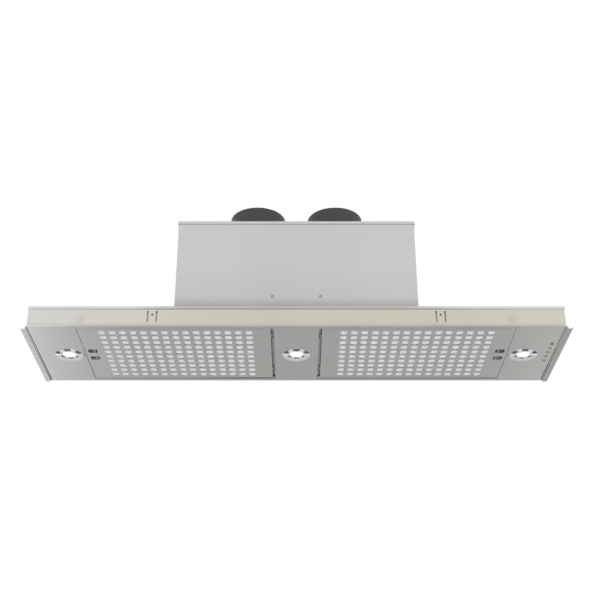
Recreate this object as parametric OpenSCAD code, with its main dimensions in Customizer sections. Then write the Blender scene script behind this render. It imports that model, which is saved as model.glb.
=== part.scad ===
// Built-in range hood: a folded steel canopy with two hinged grease filters, a
// motor housing with two double-inlet blowers, and two duct collars on top.
// Millimetres. +X is to the right, -Y is the front, +Z is up. The origin is at
// the middle of the base, level with the side flanges' lower faces.

/* [Canopy] */
// Width of the folded tray and of its front face
body_w = 1128; // [1124:2:1180]
// Depth from the front face to the rear wall
body_d = 285; // [284:1:300]
// Height from the underside to the top cover
body_h = 48; // [46:1:58]
// Thickness of the canopy's steel sheet
sheet = 1.2; // [1:0.1:1.4]
// Inside radius of the folded edges
bend_r = 1.2; // [0.8:0.1:2]
// Height of the top cover's turned-down lip
cover_lip_h = 6.9; // [5:0.1:9]

/* [Side flanges] */
// Width of each flange's visible strip
strip_w = 10; // [8:0.5:16]
// Width of the dark groove beside the tray
groove_w = 3.6; // [3:0.2:6]
// Height of the groove
groove_h = 5; // [3:0.5:6]
// Drop of the flange faces below the underside
flange_drop = 2; // [1.8:0.1:3]
// Height of the strip's turned-up edge
strip_edge_h = 3.4; // [2.6:0.2:6]
// Distance of the flange's end behind the front face
flange_setback = 7; // [4:0.5:12]

/* [Filters] */
// Distance of a filter's inner edge from the middle
filter_in = 54; // [53:0.5:58]
// Width of an end section, from a filter's outer edge to the side wall
end_w = 102; // [98:1:106]
// Depth of the underside's rim in front of the filters
front_rim = 10; // [9:0.5:14]
// Depth of the underside's rim behind the filters
rear_rim = 13.5; // [11:0.5:16]
// Thickness of a filter
filter_h = 10; // [9.5:0.5:12]
// Thickness of the filter's sheet
filter_sheet = 0.8; // [0.6:0.1:1]
// Thickness of the mesh pad
mesh_t = 6; // [5:0.1:6.2]
// Width of a perforation
perf_w = 15; // [10:0.5:17]
// Depth of a perforation
perf_d = 19; // [10:0.5:19]
// Corner radius of a perforation
perf_r = 4; // [2:0.5:4.5]
// Distance from one column of perforations to the next
perf_pitch_x = 22.3; // [20:0.1:22.4]
// Distance from one row of perforations to the next
perf_pitch_y = 24; // [20:0.5:24.5]

/* [Latches] */
// Length of a finger well, across the hood
well_l = 20; // [16:0.5:20]
// Width of a finger well
well_w = 18; // [14:0.5:20]
// Distance between the two finger wells' centres
well_pitch = 36; // [32:0.5:40]
// Travel of a latch
latch_travel = 6; // [5:0.5:6]
// Reach of a tongue past the filter's edge
tongue_reach = 5.2; // [4.5:0.1:5.4]
// Width of a tongue
tongue_w = 8; // [6:0.5:10]

/* [Lamps and buttons] */
// Outer diameter of a lamp trim
lamp_d = 60; // [58:0.5:60]
// Diameter of a lamp's lens
lens_d = 34; // [30:0.2:36]
// Distance of an end lamp from the side wall
lamp_inset = 64; // [60:1:66]
// Diameter of a push button
button_d = 7.2; // [6:0.2:8]
// Distance from one button to the next
button_pitch = 21.5; // [16:0.5:24]
// Travel of a button
button_travel = 1.5; // [1:0.1:1.6]

/* [Motor housing] */
// Width of the motor housing
housing_w = 523; // [515:1:600]
// Depth of the motor housing
housing_d = 225; // [218:1:240]
// Height of the motor housing above the canopy
housing_h = 228; // [222:1:260]
// Height of the lid's turned-down lip
lid_lip_h = 8; // [6:0.5:12]

/* [Blowers] */
// Distance of a blower from the middle
blower_x = 87.8; // [86:0.2:92]
// Radius of a wheel
wheel_r = 65; // [60:0.5:66]
// Width of a wheel
wheel_w = 98; // [90:1:98]
// Blades on a wheel
wheel_blades = 36; // [16:2:40]
// Radius of an inlet
eye_r = 50; // [46:0.5:50]
// Width of a scroll
scroll_w = 110; // [108:1:116]
// Radius of the scroll at its tongue
scroll_r0 = 71; // [70:0.5:72]
// Radius of the scroll where it opens into its neck
scroll_r1 = 99; // [96:0.5:102]
// Depth of the scroll's neck
neck_d = 80; // [76:1:84]
// Radius of a motor
motor_r = 36; // [30:0.5:38]

/* [Duct collars] */
// Outer diameter of a collar, for a duct of 125 millimetres
collar_d = 124; // [120:0.5:126]
// Height of a collar above the lid
collar_h = 44; // [40:0.5:60]
// Distance of the collars' centres in front of the middle
collar_y = 38; // [34:0.5:40]

/* [Hidden] */
$fn = 48;

// How far a cut runs past the surface that it opens
over = 2;
// Clearance of parts that slide or swing past each other
slack = 0.4;
// Gap between a moving part and the stop or seat that it rests on
rest_gap = 0.3;
// Play of a pin or shaft in its bore
pin_play = 0.05;
// Flats that stand for a quarter turn of a folded edge
bend_steps = 4;

// Heights of the canopy
under_z = flange_drop;
floor_z = under_z + sheet;
cover_z = under_z + body_h;
wall_top_z = cover_z - sheet;
half_w = body_w / 2;
half_d = body_d / 2;
cover_lip_z = cover_z - cover_lip_h;
inner_d = body_d - 2 * (sheet + bend_r);

// Gaps round a filter
gap_in = 6;
gap_out = 0.8;
gap_front = 1;
gap_rear = 4;
filter_out = half_w - end_w;
filter_w = filter_out - filter_in;
filter_y0 = gap_front + front_rim - half_d;
filter_y1 = half_d - rear_rim - gap_rear;
filter_d = filter_y1 - filter_y0;
filter_mid_y = (filter_y0 + filter_y1) / 2;
filter_top_z = under_z + filter_h;
face_top_z = under_z + filter_sheet;
opening_in = filter_in - gap_in;
opening_out = filter_out + gap_out;

// Margins from the filter's inner and front edges to the first perforations,
// and the least ones from the last perforations to its outer and rear edges
perf_margin_in = 46.4;
perf_margin_out = 45;
perf_margin_front = 21.5;
perf_margin_rear = 17;
perf_cols = floor((filter_w - perf_margin_in - perf_margin_out) / perf_pitch_x) + 1;
perf_rows = floor((filter_d - perf_margin_front - perf_margin_rear) / perf_pitch_y) + 1;

// Latch: where it lies on the filter, its tray, its slide and its spring
latch_inset = 17;
latch_x = filter_out - latch_inset;
latch_y = -2;
tray_wall = 1.5;
tray_roof = 1.2;
tray_h = 6.2;
tray_out_inset = 4;
tray_in_reach = 22;
tray_x0 = latch_x - tray_in_reach;
tray_x1 = filter_out - tray_out_inset;
tray_half = (well_pitch + well_w) / 2 + tray_wall + slack;
tray_top_z = face_top_z + tray_h;
bar_w = 5;
bar_setback = 1;
bar_x1 = latch_x - bar_setback;
bar_x0 = bar_x1 - bar_w;
bar_half = (well_pitch + well_w) / 2 - rest_gap;
bar_z0 = face_top_z + slack;
bar_z1 = tray_top_z - tray_roof - slack;
tongue_t = 3;
tongue_z0 = floor_z + 2 * slack;
tongue_x1 = filter_out + tongue_reach;
spring_wire = 0.7;
spring_r = 1.7;
spring_turns = 5;
spring_ring_steps = 12;
spring_wire_sides = 6;
well_r = 4.5;

// Hinge of a filter, at its inner edge
hinge_inset = 3.2;
hinge_rise = 4.2;
hinge_x = filter_in - hinge_inset;
hinge_z = under_z + hinge_rise;
hinge_pitch = 170;
knuckle_l = 16;
knuckle_r = 2.4;
hinge_pin_r = 1.5;
hinge_pin_l = 21;
ear_t = 1.2;
ear_r = 2.8;

// Channel over the middle lamp, and the partitions of the end compartments
channel_gap = 1;
channel_out = opening_in - channel_gap;
channel_h = 30.8;
channel_top_z = floor_z + channel_h;
channel_foot = 10;
partition_gap = 9;
partition_x = filter_out + partition_gap;
partition_foot = 12;
partition_hole_r = 6;

// Places of the lamps and their holes
lamp_hole_gap = 3;
lamp_hole_r = lamp_d / 2 - lamp_hole_gap;
lamp_tube_r = lamp_hole_r - slack;
lamp_wall = 1.2;
lamp_plate_t = 0.8;
lamp_plate_proud = 0.6;
lamp_plate_z = under_z - lamp_plate_proud;
lamp_recess = 2.4;
lens_z = under_z + lamp_recess;
lamp_slots = 6;
lamp_slot_angle = 36;
lamp_slot_w = 5.4;
lamp_pad_angle = 16;
lamp_pad_h = 0.8;
lamp_tube_h = 12;
lens_t = 2;
lamp_tab_l = 8;
lamp_tab_w = 8;
lamp_can_h = 23;
lamp_can_base_h = 5;
lamp_fins = 18;
lamp_fin_t = 1.6;
lamp_core_r = 16;
lamp_x = half_w - lamp_inset;
lamp_places = [-lamp_x, 0, lamp_x];

// Buttons in the right-hand end
button_inset = 12.5;
button_x = half_w - button_inset;
button_mid_y = -14;
button_count = 5;
button_proud = 1.2;
button_lip_z = under_z - button_proud;
button_collar_w = 1;
button_collar_r = button_d / 2 + button_collar_w;
button_collar_t = 1.2;
button_stem_r = 2;
button_stem_h = 1.4;
block_floor = 1.4;
block_h = 10.8;
block_w = 19;
block_end = 12;
board_t = 1.6;
switch_w = 6;
switch_h = 3.4;
switch_plunger_r = 1.7;

// Fixings in the front wall and in the side walls
front_slot_inset = 261;
front_slot_x = half_w - front_slot_inset;
slot_pitch = 18.5;
slot_w = 3.5;
slot_h = 25.5;
hook_room = 3;
slot_rise = 10.5;
slot_z = under_z + slot_rise;
front_hole_r = 2.25;
front_hole_rise = 27.6;
front_hole_z = under_z + front_hole_rise;
mark_inset = 110;
mark_x = half_w - mark_inset;
mark_rise = 18;
mark_z = under_z + mark_rise;
mark_r = 11;
mark_w = 1;
mark_depth = 0.3;
side_hole_inset = 52.5;
side_hole_pitch = body_d - 2 * side_hole_inset;
side_hole_r = 2.6;
side_hole_rise = 24;
side_hole_z = under_z + side_hole_rise;

// Heights and places in the motor housing
housing_foot = 15;
housing_top_z = cover_z + housing_h;
housing_wall_top_z = housing_top_z - sheet;
housing_corner_r = 2.4;
housing_inner_x = housing_w / 2 - sheet;
housing_inner_y = housing_d / 2 - sheet;
port_x = housing_inner_x - housing_foot;
port_y = housing_inner_y - housing_foot;
front_screw_x = 52;
front_screw_rise = 39;
front_screw_z = cover_z + front_screw_rise;

// Blower
blower_rise = 102;
blower_y = scroll_r1 - neck_d / 2 - collar_y;
blower_z = cover_z + blower_rise;
scroll_t = 1;
neck_front = blower_y - scroll_r1;
neck_rear = neck_front + neck_d;
tongue_a = acos((neck_rear - blower_y) / scroll_r0);
scroll_wrap = tongue_a + 180;
scroll_steps = 40;
bell_r = 6;
scroll_flange_w = 132;
blade_depth = 12.5;
blade_inset = 0.5;
blade_out_r = wheel_r - blade_inset;
blade_in_r = blade_out_r - blade_depth;
blade_t = 0.9;
blade_steps = 4;
blade_sweep = 13;
ring_w = 4;
ring_t = 1.5;
disc_t = 1.5;
hub_r = 9;
hub_l = 22;
shaft_r = 4;
motor_gap = 3;
motor_l = 62;
motor_shoulder = 8;
motor_boss_r = 12;
motor_boss_h = 2;
bracket_t = 2;
bracket_ring_l = 8;
bracket_arm_w = 10;
bracket_arms = 3;
shaft_play = 3;
shaft_end_x = blower_x + motor_gap + motor_l + 2 * motor_boss_h + shaft_play;

// Collars and their dampers
collar_r = collar_d / 2;
collar_wall = 1.6;
collar_bore_r = collar_r - collar_wall;
collar_flange_w = 10;
collar_flange_t = 1.2;
collar_top_z = housing_top_z + collar_h;
collar_lead = 1;
spigot_step = 3;
lid_hole_r = collar_r - spigot_step;
damper_z = housing_top_z + collar_h / 2;
damper_pin_r = 1.5;
flap_gap = 1.8;
flap_r = collar_bore_r - flap_gap;
flap_t = 0.8;
flap_drop = 1.6;
flap_knuckle_r = 2.4;
flap_knuckle_l = 10;
flap_knuckles = [-30, 14];
flap_edge = 0.3;
ledge_w = 3.4;
ledge_t = 0.9;
ledge_z = damper_z - flap_drop - flap_t - rest_gap;

// Electrical parts in the housing
capacitor_r = 15;
capacitor_l = 50;
capacitor_clip_t = 1;
capacitor_clip_w = 12;
capacitor_stand = 3;
capacitor_y = capacitor_r + capacitor_stand - housing_inner_y;
box_w_share = 0.6;
box_d = 120;
box_h = 100;
box_wall = 2;
box_x1 = housing_inner_x;
box_x0 = box_x1 - box_w_share * (housing_inner_x - shaft_end_x);
box_rise = 70;
box_z0 = cover_z + box_rise;
gland_inset_x = 55.3;
gland_inset_y = 41.3;
gland_x = housing_inner_x - gland_inset_x;
gland_y = housing_inner_y - gland_inset_y;
gland_hex_r = 11;
gland_thread_r = 8;
gland_bore_r = 4;
gland_base_h = 5;
gland_dome_h = 14;
gland_nut_h = 4;

// Screws
screw_r = 1.9;
screw_head_r = 3.4;
screw_head_h = 1.6;
screw_shank = 4;
collar_screw_r = collar_r + collar_flange_w / 2;
collar_screw_angles = [45, 135, 225, 315];
flange_screw_inset = 22.5;
flange_screw_pitch = body_d - 2 * flange_screw_inset;
flange_screw_z = side_hole_z;
lid_screw_pitch = 180;
lid_screw_share = 0.6;
lid_screw_z = housing_top_z - lid_lip_h * lid_screw_share;
foot_screw_x = housing_inner_x - housing_foot / 2;
foot_screw_y = housing_inner_y - housing_foot / 2;

steel = [0.78, 0.78, 0.76];
galvanised = [0.72, 0.73, 0.74];
aluminium = [0.85, 0.85, 0.86];
black_plastic = [0.16, 0.16, 0.17];
white_plastic = [0.9, 0.9, 0.88];
copper_tone = [0.72, 0.5, 0.3];
board_green = [0.12, 0.4, 0.22];

// Block between two opposite corners
module span(lo, hi) {
    translate(lo) cube(hi - lo);
}

// Turns an outline in the XY plane so that it is extruded along X, with its
// own x and y along Y and Z
module along_x() {
    rotate([90, 0, 90]) children();
}

// Turns an outline in the XY plane so that it is extruded along -Y, with its
// own x and y along X and Z
module along_y() {
    rotate([90, 0, 0]) children();
}

// Mirrors a right-hand part when side is -1
module on_side(side) {
    mirror([side < 0 ? 1 : 0, 0, 0]) children();
}

module rounded_square(w, d, r) {
    translate([r - w / 2, -d / 2]) square([w - 2 * r, d]);
    translate([-w / 2, r - d / 2]) square([w, d - 2 * r]);
    for (sx = [-1, 1], sy = [-1, 1]) {
        translate([sx * (w / 2 - r), sy * (d / 2 - r)]) circle(r);
    }
}

// Rectangle that stands on y = 0, with rounded lower corners
module folded_profile(w, h, r) {
    translate([-w / 2, r]) square([w, h - r]);
    translate([r - w / 2, 0]) square([w - 2 * r, h]);
    for (s = [-1, 1]) {
        translate([s * (w / 2 - r), r]) circle(r);
    }
}

// Block that stands on z = 0, with its four lower edges rounded as folds
module folded_block(w, d, h, r) {
    intersection() {
        along_x() linear_extrude(w, center = true) folded_profile(d, h, r);
        along_y() linear_extrude(d, center = true) folded_profile(w, h, r);
    }
}

// Open tray of sheet t, folded up on all four sides, that stands on z = 0
module folded_tray(w, d, h, r, t) {
    difference() {
        folded_block(w, d, h, r + t);
        translate([0, 0, t]) folded_block(w - 2 * t, d - 2 * t, h, r);
    }
}

// Unit vector, and the vector a quarter turn to its left
function unit2(v) = v / norm(v);
function left2(v) = [-v[1], v[0]];
function turned(v, a) = [v[0] * cos(a) - v[1] * sin(a), v[0] * sin(a) + v[1] * cos(a)];

// Points of one bend of a strip: corner p, directions u in and v out, bend
// radius r on the strip's middle line and offset o to the left of that line
function bend_points(p, u, v, r, o) =
    let (turn = atan2(u[0] * v[1] - u[1] * v[0], u * v))
    let (s = sign(turn))
    let (c = p - u * r * tan(abs(turn) / 2) + left2(u) * r * s)
    [for (k = [0:bend_steps]) c + (o - s * r) * turned(left2(u), turn * k / bend_steps)];

// Points of one side of a folded strip whose middle line follows a path
function strip_side(path, r, o) = [
    for (i = [0:len(path) - 1])
        each (i == 0) ? [path[0] + o * left2(unit2(path[1] - path[0]))]
        : (i == len(path) - 1) ? [path[i] + o * left2(unit2(path[i] - path[i - 1]))]
        : bend_points(path[i], unit2(path[i] - path[i - 1]), unit2(path[i + 1] - path[i]), r, o)
];

function reversed(list) = [for (i = [len(list) - 1:-1:0]) list[i]];

// Section of a folded strip of sheet t
module folded_strip(path, t, r) {
    polygon(concat(strip_side(path, r + t / 2, t / 2), reversed(strip_side(path, r + t / 2, -t / 2))));
}

// Ring on the XY plane
module ring(r_out, r_in, h) {
    difference() {
        cylinder(h = h, r = r_out);
        translate([0, 0, -over]) cylinder(h = h + 2 * over, r = r_in);
    }
}

// The canopy

module canopy_pan() {
    color(steel)
    difference() {
        translate([0, 0, under_z]) folded_tray(body_w, body_d, body_h - sheet - bend_r, bend_r, sheet);
        for (side = [-1, 1]) {
            on_side(side) filter_opening();
            translate([side * front_slot_x, 0, 0]) front_slots();
            translate([side * mark_x, -half_d, mark_z]) front_mark();
        }
        for (x = lamp_places) {
            translate([x, 0, under_z - over]) cylinder(h = sheet + 2 * over, r = lamp_hole_r);
        }
        for (i = [0:button_count - 1]) {
            translate([button_x, button_y(i), under_z - over])
                cylinder(h = sheet + 2 * over, r = button_d / 2 + slack);
        }
        side_fixing_holes();
        flange_screw_holes();
    }
}

// Opening for a filter, with the notch that its latch tongue passes
module filter_opening() {
    span(
        [opening_in, filter_y0 - gap_front, under_z - over],
        [opening_out, filter_y1 + gap_rear, floor_z + over]
    );
    span(
        [opening_out - over, latch_y - tongue_w / 2 - slack, under_z - over],
        [tongue_x1 + slack, latch_y + tongue_w / 2 + slack, floor_z + over]
    );
}

// A pair of upright slots with a fixing hole between them
module front_slots() {
    for (s = [-1, 1]) {
        span(
            [s * slot_pitch / 2 - slot_w / 2, -half_d - over, slot_z],
            [s * slot_pitch / 2 + slot_w / 2, sheet + over - half_d, slot_z + slot_h]
        );
    }
    translate([0, sheet + over - half_d, front_hole_z])
        along_y() cylinder(h = sheet + 2 * over, r = front_hole_r);
}

// Plain round mark pressed into the front face
module front_mark() {
    translate([0, mark_depth, 0]) along_y() ring(mark_r, mark_r - mark_w, mark_depth + over);
}

// Holes through both side walls and the flanges that lie on them
module side_fixing_holes() {
    for (s = [-1, 1]) {
        translate([-half_w - sheet - over, s * side_hole_pitch / 2, side_hole_z])
            along_x() cylinder(h = body_w + 2 * (sheet + over), r = side_hole_r);
    }
}

function button_y(i) = button_mid_y + (i - (button_count - 1) / 2) * button_pitch;

module canopy_top() {
    color(steel)
    difference() {
        translate([0, 0, cover_z])
            mirror([0, 0, 1])
            folded_tray(body_w + 2 * sheet, body_d + 2 * sheet, cover_lip_h, bend_r, sheet);
        span([-port_x, -port_y, wall_top_z - over], [port_x, port_y, cover_z + over]);
        foot_screw_holes();
    }
}

// Folded trim on a side wall: wall leg, web over the groove, strip and edge
module side_flange(side) {
    leg_x = half_w + sheet / 2;
    drop_x = half_w + sheet + groove_w + sheet / 2;
    edge_x = half_w + sheet + groove_w + strip_w + sheet / 2;
    web_z = groove_h + sheet / 2;
    path = [
        [leg_x, cover_lip_z - over],
        [leg_x, web_z],
        [drop_x, web_z],
        [drop_x, sheet / 2],
        [edge_x, sheet / 2],
        [edge_x, strip_edge_h]
    ];
    color(steel)
    on_side(side)
    difference() {
        translate([0, half_d, 0])
            along_y() linear_extrude(body_d - flange_setback) folded_strip(path, sheet, sheet / 4);
        side_fixing_holes();
        flange_screw_holes();
    }
}

// Channel with turned-in feet that covers the middle lamp
module centre_channel() {
    x = channel_out - sheet / 2;
    foot_x = channel_out - channel_foot;
    path = [
        [-foot_x, floor_z + sheet / 2],
        [-x, floor_z + sheet / 2],
        [-x, channel_top_z - sheet / 2],
        [x, channel_top_z - sheet / 2],
        [x, floor_z + sheet / 2],
        [foot_x, floor_z + sheet / 2]
    ];
    color(galvanised)
    translate([0, inner_d / 2, 0])
        along_y() linear_extrude(inner_d) folded_strip(path, sheet, bend_r);
}

// Upright sheets between the filters and the end compartments
module end_partitions() {
    x = partition_x + sheet / 2;
    path = [
        [x + partition_foot, floor_z + sheet / 2],
        [x, floor_z + sheet / 2],
        [x, wall_top_z - sheet / 2],
        [x + partition_foot, wall_top_z - sheet / 2]
    ];
    color(galvanised)
    for (side = [-1, 1]) {
        on_side(side)
        difference() {
            translate([0, inner_d / 2, 0])
                along_y() linear_extrude(inner_d) folded_strip(path, sheet, bend_r);
            translate([lamp_x, 0, floor_z - over])
                cylinder(h = lamp_tube_h + over, r = lamp_hole_r + lamp_wall);
            translate([partition_x - over, side_hole_pitch / 2, (floor_z + wall_top_z) / 2])
                along_x() cylinder(h = sheet + 2 * over, r = partition_hole_r);
        }
    }
}

// Pairs of ears on the channel that hold the filters' hinge pins, and a strip
// over them that closes the gap
module hinge_brackets() {
    color(galvanised)
    for (side = [-1, 1]) {
        on_side(side) {
            for (s = [-1, 1]) {
                translate([0, filter_mid_y + s * hinge_pitch / 2, 0]) hinge_bracket();
            }
            span(
                [channel_out, filter_y0 - gap_front, hinge_z + ear_r - slack / 2],
                [filter_in - 2 * slack, filter_y1 + gap_rear, hinge_z + ear_r + ear_t]
            );
        }
    }
}

module hinge_bracket() {
    ear_y = knuckle_l / 2 + slack;
    difference() {
        union() {
            span(
                [channel_out, -ear_y - ear_t, hinge_z - ear_r],
                [channel_out + ear_t - slack, ear_y + ear_t, hinge_z + 2 * ear_r]
            );
            for (s = [-1, 1]) {
                translate([0, s * (ear_y + ear_t / 2), 0]) hinge_ear();
            }
        }
        translate([hinge_x, hinge_pin_l, hinge_z])
            along_y() cylinder(h = 2 * hinge_pin_l, r = hinge_pin_r + pin_play);
    }
}

module hinge_ear() {
    span([channel_out, -ear_t / 2, hinge_z - ear_r], [hinge_x, ear_t / 2, hinge_z + ear_r]);
    translate([hinge_x, ear_t / 2, hinge_z]) along_y() cylinder(h = ear_t, r = ear_r);
}

// Folded plates behind the front wall: a threaded land at each fixing hole, and
// wings set back from the slots
module front_nuts() {
    land = (slot_pitch - slot_w) / 2 - sheet;
    wing = (slot_pitch + slot_w) / 2 + sheet;
    path = [
        [-wing, hook_room + sheet / 2],
        [-land, hook_room + sheet / 2],
        [-land, sheet / 2],
        [land, sheet / 2],
        [land, hook_room + sheet / 2],
        [wing, hook_room + sheet / 2]
    ];
    color(galvanised)
    for (side = [-1, 1]) {
        translate([side * front_slot_x, sheet - half_d, 0])
        difference() {
            union() {
                translate([0, 0, slot_z - sheet])
                    linear_extrude(slot_h + 2 * sheet)
                    folded_strip(path, sheet, sheet / 4);
                translate([0, sheet + land, front_hole_z]) along_y() cylinder(h = land, r = land - sheet);
            }
            translate([0, sheet + land + over, front_hole_z])
                along_y() cylinder(h = sheet + land + 2 * over, r = screw_r);
        }
    }
}

// Spring strip on a partition, with its nose under the latch tongue
module keeper(side) {
    t = sheet / 2;
    nose_z = floor_z + t / 2;
    x = partition_x - t / 2;
    path = [
        [opening_out + slack, nose_z],
        [x, nose_z],
        [x, nose_z + channel_foot]
    ];
    color(galvanised)
    on_side(side)
        translate([0, latch_y + tongue_w / 2, 0])
        along_y() linear_extrude(tongue_w) folded_strip(path, t, t);
}

// The motor housing

module motor_housing() {
    color(steel)
    difference() {
        translate([0, 0, cover_z])
            linear_extrude(housing_h - sheet - bend_r)
            rounded_square(housing_w, housing_d, housing_corner_r);
        translate([0, 0, cover_z + sheet])
            linear_extrude(housing_h)
            rounded_square(housing_w - 2 * sheet, housing_d - 2 * sheet, housing_corner_r - sheet);
        span([-port_x, -port_y, cover_z - over], [port_x, port_y, cover_z + sheet + over]);
        for (side = [-1, 1]) {
            translate([side * front_screw_x, over - housing_inner_y, front_screw_z])
                along_y() cylinder(h = sheet + 2 * over, r = screw_r);
        }
        lid_screw_holes();
        foot_screw_holes();
    }
}

module housing_top() {
    color(steel)
    difference() {
        translate([0, 0, housing_top_z])
            mirror([0, 0, 1])
            folded_tray(housing_w + 2 * sheet, housing_d + 2 * sheet, lid_lip_h, bend_r, sheet);
        for (side = [-1, 1]) {
            translate([side * blower_x, -collar_y, housing_wall_top_z - over])
                cylinder(h = sheet + 2 * over, r = lid_hole_r);
            translate([side * blower_x, -collar_y, 0]) collar_screw_holes(housing_wall_top_z);
        }
        translate([gland_x, gland_y, housing_wall_top_z - over])
            cylinder(h = sheet + 2 * over, r = gland_thread_r);
        lid_screw_holes();
    }
}

// The duct collars

// Holes for a collar's screws, through a sheet whose lower face is at z
module collar_screw_holes(z) {
    for (a = collar_screw_angles) {
        rotate(a) translate([collar_screw_r, 0, z - over]) cylinder(h = sheet + 2 * over, r = screw_r);
    }
}

// Section of a collar: flange, tube with a lead-in, spigot and flap ledge
module collar_profile() {
    spigot_r = lid_hole_r - 2 * pin_play;
    z0 = housing_wall_top_z;
    polygon([
        [spigot_r - collar_wall, z0],
        [spigot_r, z0],
        [spigot_r, housing_top_z],
        [collar_r + collar_flange_w, housing_top_z],
        [collar_r + collar_flange_w, housing_top_z + collar_flange_t],
        [collar_r, housing_top_z + collar_flange_t],
        [collar_r, collar_top_z - collar_lead],
        [collar_r - collar_wall / 2, collar_top_z],
        [collar_bore_r, collar_top_z],
        [collar_bore_r, ledge_z],
        [collar_bore_r - ledge_w, ledge_z],
        [collar_bore_r - ledge_w, ledge_z - ledge_t],
        [collar_bore_r, ledge_z - 2 * ledge_t],
        [collar_bore_r, housing_top_z + 2 * collar_wall],
        [spigot_r - collar_wall, housing_top_z]
    ]);
}

module collar(side) {
    color(black_plastic)
    translate([side * blower_x, -collar_y, 0])
    difference() {
        rotate_extrude($fn = 96) collar_profile();
        translate([0, collar_r + over, damper_z])
            along_y() cylinder(h = collar_d + 2 * over, r = damper_pin_r + pin_play);
        collar_screw_holes(housing_top_z);
    }
}

module damper_pins() {
    color(galvanised)
    for (side = [-1, 1]) {
        translate([side * blower_x, collar_r - 2 * pin_play - collar_y, damper_z])
            along_y() cylinder(h = collar_d - 4 * pin_play, r = damper_pin_r);
    }
}

// Half a round flap with the knuckles that ride on the damper pin. It covers
// the +X half of the collar and swings up.
module half_flap() {
    difference() {
        translate([0, 0, -flap_drop - flap_t])
        linear_extrude(flap_t)
        intersection() {
            circle(flap_r, $fn = 96);
            translate([flap_edge, -flap_r]) square([flap_r, 2 * flap_r]);
        }
        for (y = flap_knuckles) {
            span(
                [-over, -y - flap_knuckle_l / 2 - slack, -flap_drop - flap_t - over],
                [flap_knuckle_r + slack, -y + flap_knuckle_l / 2 + slack, 0]
            );
        }
    }
    for (y = flap_knuckles) {
        translate([0, y + flap_knuckle_l / 2, 0])
            along_y() ring(flap_knuckle_r, damper_pin_r + pin_play, flap_knuckle_l);
    }
}

// Flaps are numbered from left to right, two in each collar
module damper_flap(number) {
    side = number < 3 ? -1 : 1;
    color(black_plastic)
    translate([side * blower_x, -collar_y, damper_z])
        rotate(number % 2 == 0 ? 0 : 180) half_flap();
}

// The blowers

// Spiral of the scroll's wall, o outside its inner face, from the tongue round
// the rear, under the wheel and up to the front of the neck
function spiral(o) = [
    for (k = [0:scroll_steps])
        let (wrap = scroll_wrap * k / scroll_steps)
        let (r = scroll_r0 + (scroll_r1 - scroll_r0) * wrap / scroll_wrap + o)
        [blower_y + r * cos(tongue_a - wrap), blower_z + r * sin(tongue_a - wrap)]
];

module scroll_outline() {
    polygon(concat(
        spiral(0),
        [[neck_front, housing_wall_top_z], [neck_rear, housing_wall_top_z]]
    ));
}

module scroll_bore_outline() {
    tongue_z = blower_z + (scroll_r0 - scroll_t) * sin(tongue_a);
    polygon(concat(
        spiral(-scroll_t),
        [
            [neck_front + scroll_t, housing_top_z],
            [neck_rear - scroll_t, housing_top_z],
            [neck_rear - scroll_t, tongue_z]
        ]
    ));
}

// Side plate with a rolled inlet, its outer face at x = 0 and the scroll
// towards +X
module scroll_side() {
    along_x() linear_extrude(scroll_t)
    difference() {
        scroll_outline();
        translate([blower_y, blower_z]) circle(eye_r + bell_r, $fn = 96);
    }
    translate([0, blower_y, blower_z])
        along_x()
        rotate_extrude($fn = 96)
        translate([eye_r + bell_r, bell_r])
        intersection() {
            difference() {
                circle(bell_r, $fn = 48);
                circle(bell_r - scroll_t, $fn = 48);
            }
            translate([-bell_r, -bell_r]) square(bell_r);
        }
}

// Scroll wall with the side plate that carries the motor, and outlet flange
module scroll(side) {
    half = scroll_w / 2;
    color(galvanised)
    on_side(side)
    translate([blower_x, 0, 0]) {
        translate([scroll_t - half, 0, 0])
            along_x() linear_extrude(scroll_w - 2 * scroll_t)
            difference() {
                scroll_outline();
                scroll_bore_outline();
            }
        translate([half, 0, 0]) mirror([1, 0, 0]) scroll_side();
        outlet_flange();
    }
}

module outlet_flange() {
    window_x = scroll_w / 2 - scroll_t;
    window_y = neck_d / 2 - scroll_t;
    w = scroll_flange_w / 2;
    translate([0, -collar_y, 0])
    difference() {
        span([-w, -w, housing_wall_top_z - scroll_t], [w, w, housing_wall_top_z]);
        span(
            [-window_x, -window_y, housing_wall_top_z - scroll_t - over],
            [window_x, window_y, housing_top_z]
        );
        collar_screw_holes(housing_wall_top_z - scroll_t);
    }
}

module scroll_cover(side) {
    color(galvanised)
    on_side(side)
    translate([blower_x - scroll_w / 2, 0, 0])
    difference() {
        scroll_side();
        span(
            [-over, neck_front - over, housing_wall_top_z - scroll_t],
            [scroll_w, neck_rear + over, housing_top_z]
        );
    }
}

// One forward-curved blade at angle a, thin and slightly swept
function blade(a) =
    let (half_t = blade_t / 2)
    let (dr = blade_out_r - blade_in_r)
    let (mid = [for (k = [0:blade_steps])
        let (share = k / blade_steps)
        [blade_in_r + dr * share, a - blade_sweep * pow(share, 2)]])
    concat(
        [for (m = mid) m[0] * [cos(m[1]), sin(m[1])] + half_t * [-sin(m[1]), cos(m[1])]],
        [for (m = reversed(mid)) m[0] * [cos(m[1]), sin(m[1])] - half_t * [-sin(m[1]), cos(m[1])]]
    );

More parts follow.
